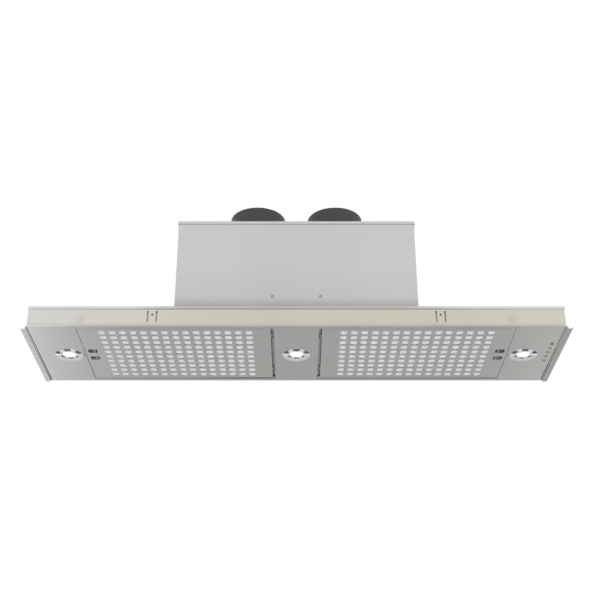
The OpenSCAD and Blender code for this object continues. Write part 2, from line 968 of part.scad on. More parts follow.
// Double-inlet wheel about Z, its middle disc at z = 0
module wheel() {
    difference() {
        union() {
            translate([0, 0, -wheel_w / 2])
                linear_extrude(wheel_w)
                for (i = [0:wheel_blades - 1]) {
                    polygon(blade(360 * i / wheel_blades));
                }
            translate([0, 0, -disc_t / 2]) cylinder(h = disc_t, r = wheel_r, $fn = 96);
            for (s = [-1, 1]) {
                translate([0, 0, s * (wheel_w - ring_t) / 2 - ring_t / 2])
                    ring(wheel_r, wheel_r - ring_w, ring_t);
            }
            translate([0, 0, -hub_l]) cylinder(h = hub_l + motor_gap / 2, r = hub_r);
        }
        translate([0, 0, -hub_l - over])
            cylinder(h = hub_l + motor_gap + 2 * over, r = shaft_r + pin_play);
    }
}

module impeller(side) {
    color(black_plastic)
    on_side(side) translate([blower_x, blower_y, blower_z]) along_x() wheel();
}

module motor_shaft(side) {
    x = blower_x - hub_l - shaft_play;
    color(galvanised)
    on_side(side)
        translate([x, blower_y, blower_z])
        along_x() cylinder(h = shaft_end_x - x, r = shaft_r);
}

// Motor with rounded shoulders and a bearing boss at each end
module motor(side) {
    color(aluminium)
    on_side(side)
    translate([blower_x + disc_t / 2 + motor_gap, blower_y, blower_z])
    along_x()
    difference() {
        rotate_extrude($fn = 96)
        union() {
            translate([0, motor_shoulder]) square([motor_r, motor_l - 2 * motor_shoulder]);
            translate([0, 0]) square([motor_r - motor_shoulder, motor_l]);
            for (z = [motor_shoulder, motor_l - motor_shoulder]) {
                intersection() {
                    translate([motor_r - motor_shoulder, z]) circle(motor_shoulder, $fn = 48);
                    square([motor_r, motor_l]);
                }
            }
            translate([0, -motor_boss_h]) square([motor_boss_r, motor_l + 2 * motor_boss_h]);
        }
        translate([0, 0, -over - motor_boss_h])
            cylinder(h = motor_l + 2 * (motor_boss_h + over), r = shaft_r + pin_play);
    }
}

// Clamp ring round a motor, with arms to the scroll's side plate
module motor_brackets() {
    reach = eye_r + bell_r + bracket_arm_w;
    color(galvanised)
    for (side = [-1, 1]) {
        on_side(side)
        translate([blower_x + scroll_w / 2, blower_y, blower_z])
        along_x()
        difference() {
            union() {
                cylinder(h = bracket_ring_l, r = motor_r + bracket_t);
                for (i = [0:bracket_arms - 1]) {
                    rotate(90 + 360 * i / bracket_arms)
                        translate([0, -bracket_arm_w / 2, 0]) cube([reach, bracket_arm_w, bracket_t]);
                }
            }
            translate([0, 0, -over]) cylinder(h = bracket_ring_l + 2 * over, r = motor_r + pin_play);
        }
    }
}

module capacitors() {
    cap_r = capacitor_r;
    color(white_plastic)
    for (side = [-1, 1]) {
        translate([side * front_screw_x, capacitor_y, front_screw_z - capacitor_l / 2]) {
            cylinder(h = capacitor_l, r = cap_r);
            for (s = [-1, 1]) {
                translate([s * cap_r / 2, 0, capacitor_l]) cylinder(h = cap_r / 2, r = cap_r / 6);
            }
        }
    }
}

// Bands that hold the capacitors to the housing's front wall
module capacitor_clips() {
    t = capacitor_clip_t;
    color(galvanised)
    for (side = [-1, 1]) {
        translate([side * front_screw_x, capacitor_y, front_screw_z - capacitor_clip_w / 2])
        difference() {
            union() {
                cylinder(h = capacitor_clip_w, r = capacitor_r + t);
                translate([-capacitor_r / 2, -capacitor_r - capacitor_stand, 0])
                    cube([capacitor_r, capacitor_r, capacitor_clip_w]);
            }
            translate([0, 0, -over]) cylinder(h = capacitor_clip_w + 2 * over, r = capacitor_r + pin_play);
            translate([0, over - capacitor_r, capacitor_clip_w / 2])
                along_y() cylinder(h = 2 * over + capacitor_stand, r = screw_r);
        }
    }
}

// Open plastic tray on the housing's right wall
module control_box() {
    lo = [box_x0, -box_d / 2, box_z0];
    hi = [box_x1, box_d / 2, box_z0 + box_h];
    wall = [box_wall, box_wall, box_wall];
    color(black_plastic)
    difference() {
        span(lo, hi);
        span(lo + wall - [box_wall + over, 0, 0], hi - wall);
    }
}

module control_box_lid() {
    color(black_plastic) {
        span([box_x0 - box_wall, -box_d / 2, box_z0], [box_x0, box_d / 2, box_z0 + box_h]);
        difference() {
            span(
                [box_x0 - box_wall / 2, box_wall - box_d / 2, box_z0 + box_wall],
                [box_x0 + box_wall, box_d / 2 - box_wall, box_z0 + box_h - box_wall]
            );
            span(
                [box_x0, 2 * box_wall - box_d / 2, box_z0 + 2 * box_wall],
                [box_x0 + 2 * box_wall, box_d / 2 - 2 * box_wall, box_z0 + box_h - 2 * box_wall]
            );
        }
    }
}

// Circuit board with its relays, transformer, fuse and terminals
module control_board() {
    back = box_x1 - box_wall;
    face = back - 2 * box_wall - board_t;
    room = face - box_x0 - box_wall;
    relay_w = box_h / 6;
    relay_y_shares = [-0.36, -0.2, -0.04];
    relay_h = relay_w + box_wall;
    part_t = room / 3;
    capacitor_z_share = 0.66;
    stand_inset = 4 * box_wall;
    color(board_green) {
        span(
            [face, 2 * box_wall - box_d / 2, box_z0 + 2 * box_wall],
            [face + board_t, box_d / 2 - 2 * box_wall, box_z0 + box_h - 2 * box_wall]
        );
        for (y = [stand_inset - box_d / 2, box_d / 2 - stand_inset], z = [stand_inset, box_h - stand_inset]) {
            translate([face, y, box_z0 + z]) along_x() cylinder(h = back - face, r = box_wall);
        }
        for (share = relay_y_shares) {
            translate([face - part_t, share * box_d, box_z0 + relay_w])
                cube([part_t, relay_w - box_wall, relay_h]);
            translate([face - part_t, share * box_d + relay_w / 3, box_z0 + capacitor_z_share * box_h])
                along_x() cylinder(h = part_t, r = relay_w / 3);
        }
        translate([face - room / 2, box_d / 8, box_z0 + relay_w])
            cube([room / 2, 2 * relay_w, 2 * relay_w]);
        translate([face - part_t / 2, box_d / 8, box_z0 + box_h - 2 * relay_w])
            cube([part_t / 2, box_d / 4, relay_w / 2]);
    }
}

// Gland with a hexagon base, a domed nut and a lock nut under the lid
module cable_gland() {
    color(black_plastic)
    translate([gland_x, gland_y, housing_top_z])
    difference() {
        union() {
            cylinder(h = gland_base_h, r = gland_hex_r, $fn = 6);
            rotate_extrude() gland_profile();
            translate([0, 0, -sheet - gland_nut_h]) cylinder(h = gland_nut_h, r = gland_hex_r, $fn = 6);
        }
        translate([0, 0, -sheet - gland_nut_h - 2 * over])
            cylinder(h = gland_dome_h + gland_base_h + gland_nut_h + 4 * over, r = gland_bore_r);
    }
}

module gland_profile() {
    top = gland_base_h + gland_dome_h;
    dome_r = gland_hex_r * cos(30);
    polygon([
        [0, -sheet - gland_nut_h - over],
        [gland_thread_r - pin_play, -sheet - gland_nut_h - over],
        [gland_thread_r - pin_play, gland_base_h / 2],
        [dome_r, gland_base_h / 2],
        [dome_r, top - gland_dome_h / 2],
        [dome_r - gland_dome_h / 15, top - gland_dome_h / 5],
        [dome_r - gland_dome_h / 5, top],
        [0, top]
    ]);
}

// The lamps

// Section of a lamp's trim: thin rim below the panel, plate, cup with a ledge
// for the lens, and tube through the hole
module lamp_trim_profile() {
    rim_r = lamp_d / 2;
    edge = lamp_plate_proud / 2;
    ledge_r = lens_d / 2 - lamp_wall;
    cup_r = lens_d / 2 + lamp_plate_t;
    tube_in_r = lamp_tube_r - lamp_wall;
    polygon([
        [rim_r, under_z],
        [rim_r, under_z - edge],
        [rim_r - edge, lamp_plate_z],
        [lens_d / 2, lamp_plate_z],
        [ledge_r, lens_z - lamp_plate_t],
        [ledge_r, lens_z],
        [cup_r, lens_z],
        [cup_r, lamp_plate_z + lamp_plate_t],
        [tube_in_r, lamp_plate_z + lamp_plate_t],
        [tube_in_r, lamp_plate_z + lamp_tube_h],
        [lamp_tube_r, lamp_plate_z + lamp_tube_h],
        [lamp_tube_r, under_z]
    ]);
}

// Section of a raised pad between two slots of a trim
module lamp_pad_profile() {
    rim_r = lamp_d / 2;
    polygon([
        [rim_r - lamp_pad_h, lamp_plate_z + lamp_plate_t / 2],
        [rim_r - lamp_pad_h, lamp_plate_z],
        [rim_r - 3 * lamp_pad_h, lamp_plate_z - lamp_pad_h],
        [lens_d / 2 + 2 * lamp_pad_h, lamp_plate_z - lamp_pad_h],
        [lens_d / 2 + lamp_pad_h, lamp_plate_z],
        [lens_d / 2 + lamp_pad_h, lamp_plate_z + lamp_plate_t / 2]
    ]);
}

module lamp_trim() {
    slot_mid_r = (lens_d / 2 + lamp_plate_t + lamp_tube_r) / 2;
    difference() {
        rotate_extrude($fn = 96) lamp_trim_profile();
        for (i = [0:lamp_slots - 1]) {
            rotate(30 + 360 * i / lamp_slots - lamp_slot_angle / 2)
                translate([0, 0, lamp_plate_z - over])
                rotate_extrude(angle = lamp_slot_angle, $fn = 96)
                translate([slot_mid_r - lamp_slot_w / 2, 0])
                square([lamp_slot_w, lamp_plate_t + 2 * over]);
        }
    }
    for (i = [0:lamp_slots - 1]) {
        rotate(360 * i / lamp_slots - lamp_pad_angle / 2)
            rotate_extrude(angle = lamp_pad_angle, $fn = 96)
            lamp_pad_profile();
    }
    for (s = [-1, 1]) {
        translate([0, s * (lamp_tube_r + lamp_tab_l / 2 - lamp_wall / 2), floor_z + lamp_wall / 2])
            cube([lamp_tab_w, lamp_tab_l + lamp_wall, lamp_wall], center = true);
    }
}

module lamp_trims() {
    color(aluminium)
    for (x = lamp_places) {
        translate([x, 0, 0]) lamp_trim();
    }
}

module lamp_lenses() {
    color(white_plastic)
    for (x = lamp_places) {
        translate([x, 0, lens_z]) cylinder(h = lens_t, r = lens_d / 2);
    }
}

// Lamp body: a base that caps the lens and a finned heat sink over it
module lamp_housings() {
    fin_l = lamp_tube_r - 3 * lamp_wall;
    color(aluminium)
    for (x = lamp_places) {
        translate([x, 0, lens_z + lens_t]) {
            difference() {
                translate([0, 0, -lens_t])
                    cylinder(h = lens_t + lamp_can_base_h, r = lens_d / 2 + lamp_plate_t);
                translate([0, 0, -lens_t - over])
                    cylinder(h = lens_t + over, r = lens_d / 2 + pin_play);
            }
            translate([0, 0, lamp_can_base_h])
                linear_extrude(lamp_can_h - lamp_can_base_h)
                for (i = [0:lamp_fins - 1]) {
                    rotate(360 * i / lamp_fins) translate([0, -lamp_fin_t / 2]) square([fin_l, lamp_fin_t]);
                }
            cylinder(h = lamp_can_h, r = lamp_core_r);
        }
    }
}

// The buttons

module button_block() {
    cavity_r = button_collar_r + slack;
    y0 = button_y(0) - block_end;
    y1 = button_y(button_count - 1) + block_end;
    color(black_plastic)
    difference() {
        span([button_x - block_w / 2, y0, floor_z], [button_x + block_w / 2, y1, floor_z + block_h]);
        for (i = [0:button_count - 1]) {
            translate([button_x, button_y(i), floor_z - over])
                cylinder(h = block_h, r = button_d / 2 + slack / 2);
            translate([button_x, button_y(i), floor_z + block_floor])
                cylinder(h = block_h, r = cavity_r);
        }
    }
}

// Board on the block, with a switch over each button
module button_board() {
    z = floor_z + block_h;
    y0 = button_y(0) - block_end;
    y1 = button_y(button_count - 1) + block_end;
    plunger_z = floor_z + block_floor + button_collar_t + button_stem_h + button_travel + 2 * rest_gap;
    color(board_green) {
        span([button_x - block_w / 2, y0, z], [button_x + block_w / 2, y1, z + board_t]);
        for (i = [0:button_count - 1]) {
            translate([button_x, button_y(i), z - switch_h / 2])
                cube([switch_w, switch_w, switch_h], center = true);
            translate([button_x, button_y(i), plunger_z])
                cylinder(h = z - plunger_z, r = switch_plunger_r);
        }
    }
}

// Button i with its collar and stem, numbered from the front
module button(i) {
    r = button_d / 2;
    collar_z = floor_z + block_floor + rest_gap;
    color(i == 0 ? black_plastic : white_plastic)
    translate([button_x, button_y(i), 0])
    rotate_extrude()
    polygon([
        [0, button_lip_z],
        [r - button_proud / 3, button_lip_z],
        [r, button_lip_z + button_proud / 3],
        [r, collar_z],
        [button_collar_r, collar_z],
        [button_collar_r, collar_z + button_collar_t],
        [button_stem_r, collar_z + button_collar_t],
        [button_stem_r, collar_z + button_collar_t + button_stem_h],
        [0, collar_z + button_collar_t + button_stem_h]
    ]);
}

// The filters

// Outline of all perforations of the right-hand filter
module perforations() {
    for (i = [0:perf_cols - 1], j = [0:perf_rows - 1]) {
        translate([
            filter_in + perf_margin_in + i * perf_pitch_x,
            filter_y0 + perf_margin_front + j * perf_pitch_y
        ])
            rounded_square(perf_w, perf_d, perf_r);
    }
}

module finger_wells() {
    for (s = [-1, 1]) {
        translate([latch_x, latch_y + s * well_pitch / 2]) rounded_square(well_l, well_w, well_r);
    }
}

// Perforated sheet folded up on all sides, with hinge knuckles and pins at its
// inner edge
module filter_face(side) {
    color(steel)
    on_side(side) {
        difference() {
            translate([filter_in + filter_w / 2, filter_mid_y, under_z])
                folded_tray(filter_w, filter_d, filter_h, bend_r, filter_sheet);
            translate([0, 0, under_z - over])
                linear_extrude(filter_sheet + 2 * over) {
                    perforations();
                    finger_wells();
                }
            span(
                [tray_x1, latch_y - tongue_w / 2 - slack, tongue_z0 - slack],
                [filter_out + over, latch_y + tongue_w / 2 + slack, tongue_z0 + tongue_t + slack]
            );
        }
        for (s = [-1, 1]) {
            translate([0, filter_mid_y + s * hinge_pitch / 2, 0]) hinge_knuckle();
        }
    }
}

module hinge_knuckle() {
    translate([hinge_x, knuckle_l / 2, hinge_z]) along_y() cylinder(h = knuckle_l, r = knuckle_r);
    translate([hinge_x, hinge_pin_l / 2, hinge_z]) along_y() cylinder(h = hinge_pin_l, r = hinge_pin_r);
    span(
        [hinge_x, -knuckle_l / 2, hinge_z - hinge_pin_r],
        [filter_in + filter_sheet / 2, knuckle_l / 2, hinge_z + hinge_pin_r]
    );
}

// Pad of expanded metal on the perforated sheet
module filter_mesh(side) {
    color(aluminium)
    on_side(side)
    span(
        [filter_in + filter_sheet + bend_r, filter_y0 + filter_sheet + bend_r, face_top_z + pin_play],
        [tray_x0 - slack, filter_y1 - filter_sheet - bend_r, face_top_z + mesh_t]
    );
}

// Frame with crossbars that holds the pad down
module filter_back(side) {
    rim = 12;
    bars = 4;
    z = tray_top_z;
    x0 = filter_in + filter_sheet;
    x1 = filter_out - filter_sheet;
    y0 = filter_y0 + filter_sheet;
    y1 = filter_y1 - filter_sheet;
    bay = (x1 - x0 - rim) / bars;
    color(steel)
    on_side(side)
    translate([0, 0, z])
    linear_extrude(filter_sheet)
    difference() {
        translate([x0, y0]) square([x1 - x0, y1 - y0]);
        for (i = [0:bars - 1]) {
            translate([x0 + rim + i * bay, y0 + rim]) square([bay - rim, (y1 - y0 - 3 * rim) / 2]);
            translate([x0 + rim + i * bay, (y0 + y1 + rim) / 2]) square([bay - rim, (y1 - y0 - 3 * rim) / 2]);
        }
    }
}

// Plastic tray behind the finger wells, with guides for the tongue
module latch_pocket(side) {
    guide_y = tongue_w / 2 + slack;
    color(black_plastic)
    on_side(side)
    translate([0, latch_y, 0])
    difference() {
        union() {
            difference() {
                span([tray_x0, -tray_half, face_top_z], [tray_x1, tray_half, tray_top_z]);
                span(
                    [tray_x0 + tray_wall, tray_wall - tray_half, face_top_z - over],
                    [tray_x1 - tray_wall, tray_half - tray_wall, tray_top_z - tray_roof]
                );
            }
            for (s = [-1, 1]) {
                translate([0, s * (guide_y + tray_wall / 2), 0])
                    span(
                        [bar_x1 + slack, -tray_wall / 2, face_top_z],
                        [tray_x1, tray_wall / 2, tray_top_z]
                    );
            }
        }
        span([bar_x1, -guide_y, tongue_z0 - slack], [tray_x1 + over, guide_y, tongue_z0 + tongue_t + slack]);
    }
}

// Bar that the fingers pull, with the tongue that holds the filter up
module latch_slide(side) {
    lead = tongue_t / 2;
    color(galvanised)
    on_side(side)
    translate([0, latch_y, 0]) {
        span([bar_x0, -bar_half, bar_z0], [bar_x1, bar_half, bar_z1]);
        translate([0, tongue_w / 2, 0])
            along_y() linear_extrude(tongue_w)
            polygon([
                [bar_x1 - bar_w / 2, tongue_z0],
                [tongue_x1 - lead, tongue_z0],
                [tongue_x1, tongue_z0 + lead],
                [tongue_x1, tongue_z0 + tongue_t],
                [bar_x1 - bar_w / 2, tongue_z0 + tongue_t]
            ]);
    }
}

// Ring of points round the wire where it has turned by a
function wire_ring(a, x) = [
    for (k = [0:spring_wire_sides - 1])
        let (t = 360 * k / spring_wire_sides)
        let (r = spring_r + spring_wire / 2 * cos(t))
        [x + spring_wire / 2 * sin(t), r * cos(a), r * sin(a)]
];

// Coil spring between the tray and the bar
module latch_spring(side) {
    x0 = tray_x0 + tray_wall + spring_wire / 2 + pin_play;
    x1 = bar_x0 - spring_wire / 2 - pin_play;
    rings = spring_turns * spring_ring_steps;
    n = spring_wire_sides;
    points = [for (i = [0:rings]) each wire_ring(360 * i / spring_ring_steps, x0 + (x1 - x0) * i / rings)];
    walls = [
        for (i = [0:rings - 1], k = [0:n - 1])
            let (a = i * n + k)
            let (b = i * n + (k + 1) % n)
            each [[a, b, b + n], [a, b + n, a + n]]
    ];
    start = [for (k = [1:n - 2]) [0, k + 1, k]];
    end = [for (k = [1:n - 2]) [rings * n, rings * n + k, rings * n + k + 1]];
    color(galvanised)
    on_side(side)
        translate([0, latch_y, (face_top_z + tray_top_z - tray_roof) / 2])
        polyhedron(points, concat(walls, start, end));
}

// Fasteners

// Screw along +Z with its head's seat at z = 0
module screw() {
    rotate_extrude()
    polygon([
        [0, -screw_head_h],
        [screw_head_r - screw_head_h / 2, -screw_head_h],
        [screw_head_r, -screw_head_h / 2],
        [screw_head_r, 0],
        [screw_r - pin_play, 0],
        [screw_r - pin_play, screw_shank],
        [0, screw_shank]
    ]);
}

// Screws through the housing's front wall, the collars' flanges, the side
// flanges, the lid's lip and the housing's foot
module screws() {
    color(galvanised)
    for (side = [-1, 1]) {
        translate([side * front_screw_x, -housing_d / 2, front_screw_z]) rotate([-90, 0, 0]) screw();
        translate([side * blower_x, -collar_y, housing_top_z + collar_flange_t])
            for (a = collar_screw_angles) {
                rotate(a) translate([collar_screw_r, 0, 0]) rotate([180, 0, 0]) screw();
            }
        for (s = [-1, 1]) {
            translate([side * (half_w + sheet), s * flange_screw_pitch / 2, flange_screw_z])
                rotate([0, -side * 90, 0]) screw();
            translate([side * (housing_w / 2 + sheet), s * lid_screw_pitch / 2, lid_screw_z])
                rotate([0, -side * 90, 0]) screw();
            translate([side * foot_screw_x, s * foot_screw_y, cover_z + sheet])
                rotate([180, 0, 0]) screw();
        }
    }
}

// Holes for the screws that hold the side flanges
module flange_screw_holes() {
    for (s = [-1, 1]) {
        translate([-half_w - sheet - over, s * flange_screw_pitch / 2, flange_screw_z])
            along_x() cylinder(h = body_w + 2 * (sheet + over), r = screw_r);
    }
}

// Holes for the screws that hold the lid
module lid_screw_holes() {
    for (s = [-1, 1]) {
        translate([-housing_w / 2 - sheet - over, s * lid_screw_pitch / 2, lid_screw_z])
            along_x() cylinder(h = housing_w + 2 * (sheet + over), r = screw_r);
    }
}

// Holes for the screws that hold the housing's foot to the canopy's cover
module foot_screw_holes() {
    for (side = [-1, 1], s = [-1, 1]) {
        translate([side * foot_screw_x, s * foot_screw_y, wall_top_z - over])
            cylinder(h = 2 * (sheet + over), r = screw_r);
    }
}

canopy_pan();
canopy_top();
side_flange(-1);  // side_flange_left
side_flange(1);  // side_flange_right
centre_channel();
end_partitions();
hinge_brackets();
front_nuts();
keeper(-1);  // keeper_left
keeper(1);  // keeper_right
motor_housing();
housing_top();
collar(-1);  // collar_left
collar(1);  // collar_right
damper_pins();
damper_flap(1);  // damper_flap_1
damper_flap(2);  // damper_flap_2
damper_flap(3);  // damper_flap_3
damper_flap(4);  // damper_flap_4
scroll(-1);  // scroll_left
scroll(1);  // scroll_right
scroll_cover(-1);  // scroll_cover_left
scroll_cover(1);  // scroll_cover_right
impeller(-1);  // impeller_left
impeller(1);  // impeller_right
motor_shaft(-1);  // motor_shaft_left
motor_shaft(1);  // motor_shaft_right
motor(-1);  // motor_left
motor(1);  // motor_right
motor_brackets();
capacitors();
capacitor_clips();
control_box();
control_box_lid();
control_board();
cable_gland();
lamp_trims();
lamp_lenses();
lamp_housings();
button_block();
button_board();
button(0);  // button_1
button(1);  // button_2
button(2);  // button_3
button(3);  // button_4
button(4);  // button_5
filter_face(-1);  // filter_face_left
filter_face(1);  // filter_face_right
filter_mesh(-1);  // filter_mesh_left
filter_mesh(1);  // filter_mesh_right
filter_back(-1);  // filter_back_left
filter_back(1);  // filter_back_right
latch_pocket(-1);  // latch_pocket_left
latch_pocket(1);  // latch_pocket_right
latch_slide(-1);  // latch_slide_left
latch_slide(1);  // latch_slide_right
latch_spring(-1);  // latch_spring_left
latch_spring(1);  // latch_spring_right
screws();
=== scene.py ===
"""Looks of the built-in range hood, on the frame of its packed solids.

Everything is in metres: +X is to the right, -Y is the front and +Z is up.
"""

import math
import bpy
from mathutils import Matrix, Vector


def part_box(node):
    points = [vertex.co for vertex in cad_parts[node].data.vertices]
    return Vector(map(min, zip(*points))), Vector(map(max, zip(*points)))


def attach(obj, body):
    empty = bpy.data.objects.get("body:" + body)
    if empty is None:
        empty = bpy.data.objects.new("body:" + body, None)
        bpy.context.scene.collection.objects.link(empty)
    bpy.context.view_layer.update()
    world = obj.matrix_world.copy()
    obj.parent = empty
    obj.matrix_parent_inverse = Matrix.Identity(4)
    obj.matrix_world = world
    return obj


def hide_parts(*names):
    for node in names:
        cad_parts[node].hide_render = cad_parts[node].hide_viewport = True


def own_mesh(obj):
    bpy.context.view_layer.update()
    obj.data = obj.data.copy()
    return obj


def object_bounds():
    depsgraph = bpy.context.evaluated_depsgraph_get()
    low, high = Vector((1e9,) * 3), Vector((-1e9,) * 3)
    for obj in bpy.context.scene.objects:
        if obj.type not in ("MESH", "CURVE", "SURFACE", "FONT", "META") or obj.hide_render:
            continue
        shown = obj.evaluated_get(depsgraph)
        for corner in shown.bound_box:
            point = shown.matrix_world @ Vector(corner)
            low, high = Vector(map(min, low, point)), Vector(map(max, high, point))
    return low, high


bl_info = {
    "name": "Built-in Range Hood",
    "version": (1, 0, 0),
    "blender": (4, 5, 0),
    "location": "View3D > Sidebar > Range Hood",
    "description": "Finishes, mesh, lenses, springs and screws of a built-in range hood, and its stage",
    "category": "Object",
}

import bpy
from bpy.props import FloatProperty, FloatVectorProperty, IntProperty, PointerProperty
from mathutils import Matrix, Vector

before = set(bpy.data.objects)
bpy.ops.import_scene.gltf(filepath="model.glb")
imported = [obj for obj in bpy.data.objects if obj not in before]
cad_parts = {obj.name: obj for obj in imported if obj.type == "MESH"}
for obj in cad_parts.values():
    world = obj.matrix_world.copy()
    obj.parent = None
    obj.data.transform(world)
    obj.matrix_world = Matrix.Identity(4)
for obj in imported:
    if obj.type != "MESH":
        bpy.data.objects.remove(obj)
CAD_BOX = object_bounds()
MM = 0.001
# Thickness of the stainless sheet
SHEET = 1.2 * MM
HALF_W = CAD_BOX[1][0]
SIDES = {"left": -1, "right": 1}
COVER_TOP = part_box("canopy_top")[1].z
# Middle of the right-hand round mark on the front face, and the radii between which it fades
MARK = (454 * MM, 0.0, 20 * MM)
MARK_FADE = (9.5 * MM, 11.5 * MM)
# Heights between which the underside's fold turns up into the walls
FOLD_Z = (3.4 * MM, 5.4 * MM)
# Distance of a filter's flat sheet from the middle: its hinge knuckles stand out from there
KNUCKLE_X = 53.7 * MM
# Radius of the opening in a lamp's trim through which its lens shows
TRIM_SIGHT = 15 * MM
# The camera as fitted to the photo's edges: its place, its tilt in degrees and its shift
CAMERA_SPOT = (0.0, -2.2388, -1.0274)
CAMERA_TILT = 117.51
CAMERA_SHIFT = 0.006


# Colours and nodes


def colour(text):
    """Linear red, green, blue and alpha of an sRGB hex colour."""
    levels = [int(text[i : i + 2], 16) / 255 for i in (1, 3, 5)]
    linear = [v / 12.92 if v <= 0.04045 else ((v + 0.055) / 1.055) ** 2.4 for v in levels]
    return (*linear, 1.0)


def add_node(tree, kind, settings=None, **inputs):
    """Adds a node, sets its properties, and fills or links its inputs.

    An input is named in lower case with underscores, or by its number after an n. It is given a
    value, a socket, or a node whose first output it takes.
    """
    node = tree.nodes.new("ShaderNode" + kind)
    for name, value in (settings or {}).items():
        setattr(node, name, value)
    for name, value in inputs.items():
        if name[0] == "n" and name[1:].isdigit():
            socket = node.inputs[int(name[1:])]
        else:
            socket = next(s for s in node.inputs if s.name.lower().replace(" ", "_") == name)
        if isinstance(value, bpy.types.Node):
            value = value.outputs[0]
        if isinstance(value, bpy.types.NodeSocket):
            tree.links.new(value, socket)
        else:
            socket.default_value = value
    return node


def new_material(name):
    """New material, its node tree, emptied, and its object coordinates."""
    material = bpy.data.materials.new(name)
    material.use_nodes = True
    tree = material.node_tree
    tree.nodes.clear()
    return material, tree, add_node(tree, "TexCoord").outputs["Object"]


def shaded(material, **inputs):
    """The material with its shader, whose inputs are given, and its output node."""
    shader = add_node(material.node_tree, "BsdfPrincipled", **inputs)
    add_node(material.node_tree, "OutputMaterial", surface=shader)
    return material


def noise(tree, place, size, detail=2.0, roughness=0.5):
    """Noise whose cells are about size metres across, or three sizes for X, Y and Z."""
    scale = [1 / s for s in (size if isinstance(size, tuple) else (size,) * 3)]
    stretched = add_node(tree, "Mapping", n0=place, n3=scale)
    return add_node(tree, "TexNoise", n0=stretched, scale=1.0, detail=detail, roughness=roughness)


def graded(tree, value, start, end, stops):
    """Colour that goes through (share, colour) stops as a value goes from start to end."""
    share = add_node(tree, "MapRange", n0=value, n1=start, n2=end)
    node = add_node(tree, "ValToRGB", n0=share)
    elements = node.color_ramp.elements
    while len(elements) < len(stops):
        elements.new(0.5)
    for element, (place, shade) in zip(elements, stops):
        element.position = place
        element.color = shade
    return node


def dimmed(tree, tint, value, low, high, start=0.0, end=1.0):
    """Colour times a brightness that goes from low to high as a value goes from start to end."""
    share = add_node(tree, "MapRange", n0=value, n1=start, n2=end, n3=low, n4=high)
    return add_node(tree, "HueSaturation", value=share, color=tint)


def varied(tree, tint, value, by):
    """Colour made lighter and darker by a share, as a value goes from 0 to 1."""
    return dimmed(tree, tint, value, 1 - by, 1 + by)


# Finishes


def brushed_stainless(part, tint, steel, rougher=0.0, along=0):
    """Stainless steel sheet of a part, brushed with a belt. The belt leaves fine lines along the
    sheet, which blur reflections across them. Real lines are 0.1 to 0.3 mm apart; the coarse set is
    drawn wider so that it shows."""
    material, tree, place = new_material(f"belt_brushed_stainless_{part}")
    roughness = steel.roughness + rougher
    sizes = [steel.grain * MM] * 3
    sizes[along] = 90 * MM
    fine = [0.35 * MM] * 3
    fine[along] = 30 * MM
    lines = noise(tree, place, tuple(sizes), 3.0, 0.6)
    hair = noise(tree, place, tuple(fine))
    cloud = noise(tree, place, 160 * MM, 1.0)
    return shaded(
        material,
        base_color=varied(tree, varied(tree, tint(steel, tree, place), cloud, 0.035), lines, 0.05),
        metallic=1.0,
        roughness=add_node(tree, "MapRange", n0=lines, n3=roughness - 0.05, n4=roughness + 0.07),
        normal=add_node(tree, "Bump", height=hair, distance=0.006 * MM),
    )


def canopy_tint(steel, tree, place):
    """Tint of the canopy's sheet: its underside is neutral, and its front face warms to the middle.
    Both carry painted light: the underside is painted brightest at its left end, darkest in its
    middle and lighter again at its right end, and the front face is painted lighter towards its
    ends, as a painted reflection. The two round marks on the front face are a little darker,
    because they were pressed through the brush lines. The folds are painted darker, as painted
    shade that takes out the bright reflection along the bends."""
    axes = add_node(tree, "SeparateXYZ", n0=place).outputs
    # Painted reflection: the front face is lighter towards its ends and darker and warmer in its middle
    end, side, middle = steel.face_end, steel.face_side, steel.face_middle
    stops = [(0.02, end), (0.22, side), (0.42, middle), (0.75, middle), (1.0, side)]
    face = graded(tree, axes["X"], -HALF_W, HALF_W, stops)
    # Painted light: the underside is brightest at its left end, darkest in its middle, lighter at its
    # right end
    stops = [(0.0, steel.under_left), (0.101, steel.under_left_inner), (0.105, steel.filter_left)]
    stops += [(0.2, steel.under_middle), (0.85, steel.under_middle), (1.0, steel.under_right)]
    under = graded(tree, axes["X"], -HALF_W, HALF_W, stops)
    lifted = add_node(tree, "MapRange", n0=axes["Z"], n1=FOLD_Z[0], n2=FOLD_Z[1])
    mixed = add_node(tree, "Mix", {"data_type": "RGBA"}, n0=lifted, n6=under, n7=face).outputs[2]

    side_x = add_node(tree, "Math", {"operation": "ABSOLUTE"}, n0=axes["X"])
    flat = add_node(tree, "CombineXYZ", n0=side_x, n2=axes["Z"])
    offset = add_node(tree, "VectorMath", {"operation": "DISTANCE"}, n0=flat, n1=MARK).outputs["Value"]
    mark_dulling = 0.92
    marked = dimmed(tree, mixed, offset, mark_dulling, 1.0, *MARK_FADE)

    # Painted shade on the folds: they are darkened, which takes out the bright reflection along the
    # bends
    normal = add_node(tree, "TexCoord").outputs["Normal"]
    lean = add_node(tree, "SeparateXYZ", n0=normal).outputs
    folded = add_node(tree, "Math", {"operation": "MULTIPLY"}, n0=lean["Y"], n1=lean["Z"])
    folded = add_node(tree, "Math", {"operation": "ABSOLUTE"}, n0=folded)
    # The folds' painted shade is lightest at the left end of the hood
    left_x, left_fold, other_fold = (-0.92 * HALF_W, -0.76 * HALF_W), 0.9, 0.66
    least = add_node(
        tree, "MapRange", n0=axes["X"], n1=left_x[0], n2=left_x[1], n3=left_fold, n4=other_fold
    )
    fold_shaded = dimmed(tree, marked, folded, 1.0, least, 0.1, 0.45)

    # The walls are darker in a band from about 3.6 to 10 mm up, just above the bend
    edge_h = 12 * MM
    lightest, band_dark = colour("#FFFFFF"), colour("#E4E4E4")
    stops = [(0.0, lightest), (0.27, lightest), (0.3, band_dark), (0.85, lightest)]
    edge = graded(tree, axes["Z"], 0.0, edge_h, stops)
    settings = {"data_type": "RGBA", "blend_type": "MULTIPLY"}
    return add_node(tree, "Mix", settings, n0=1.0, n6=fold_shaded, n7=edge).outputs[2]


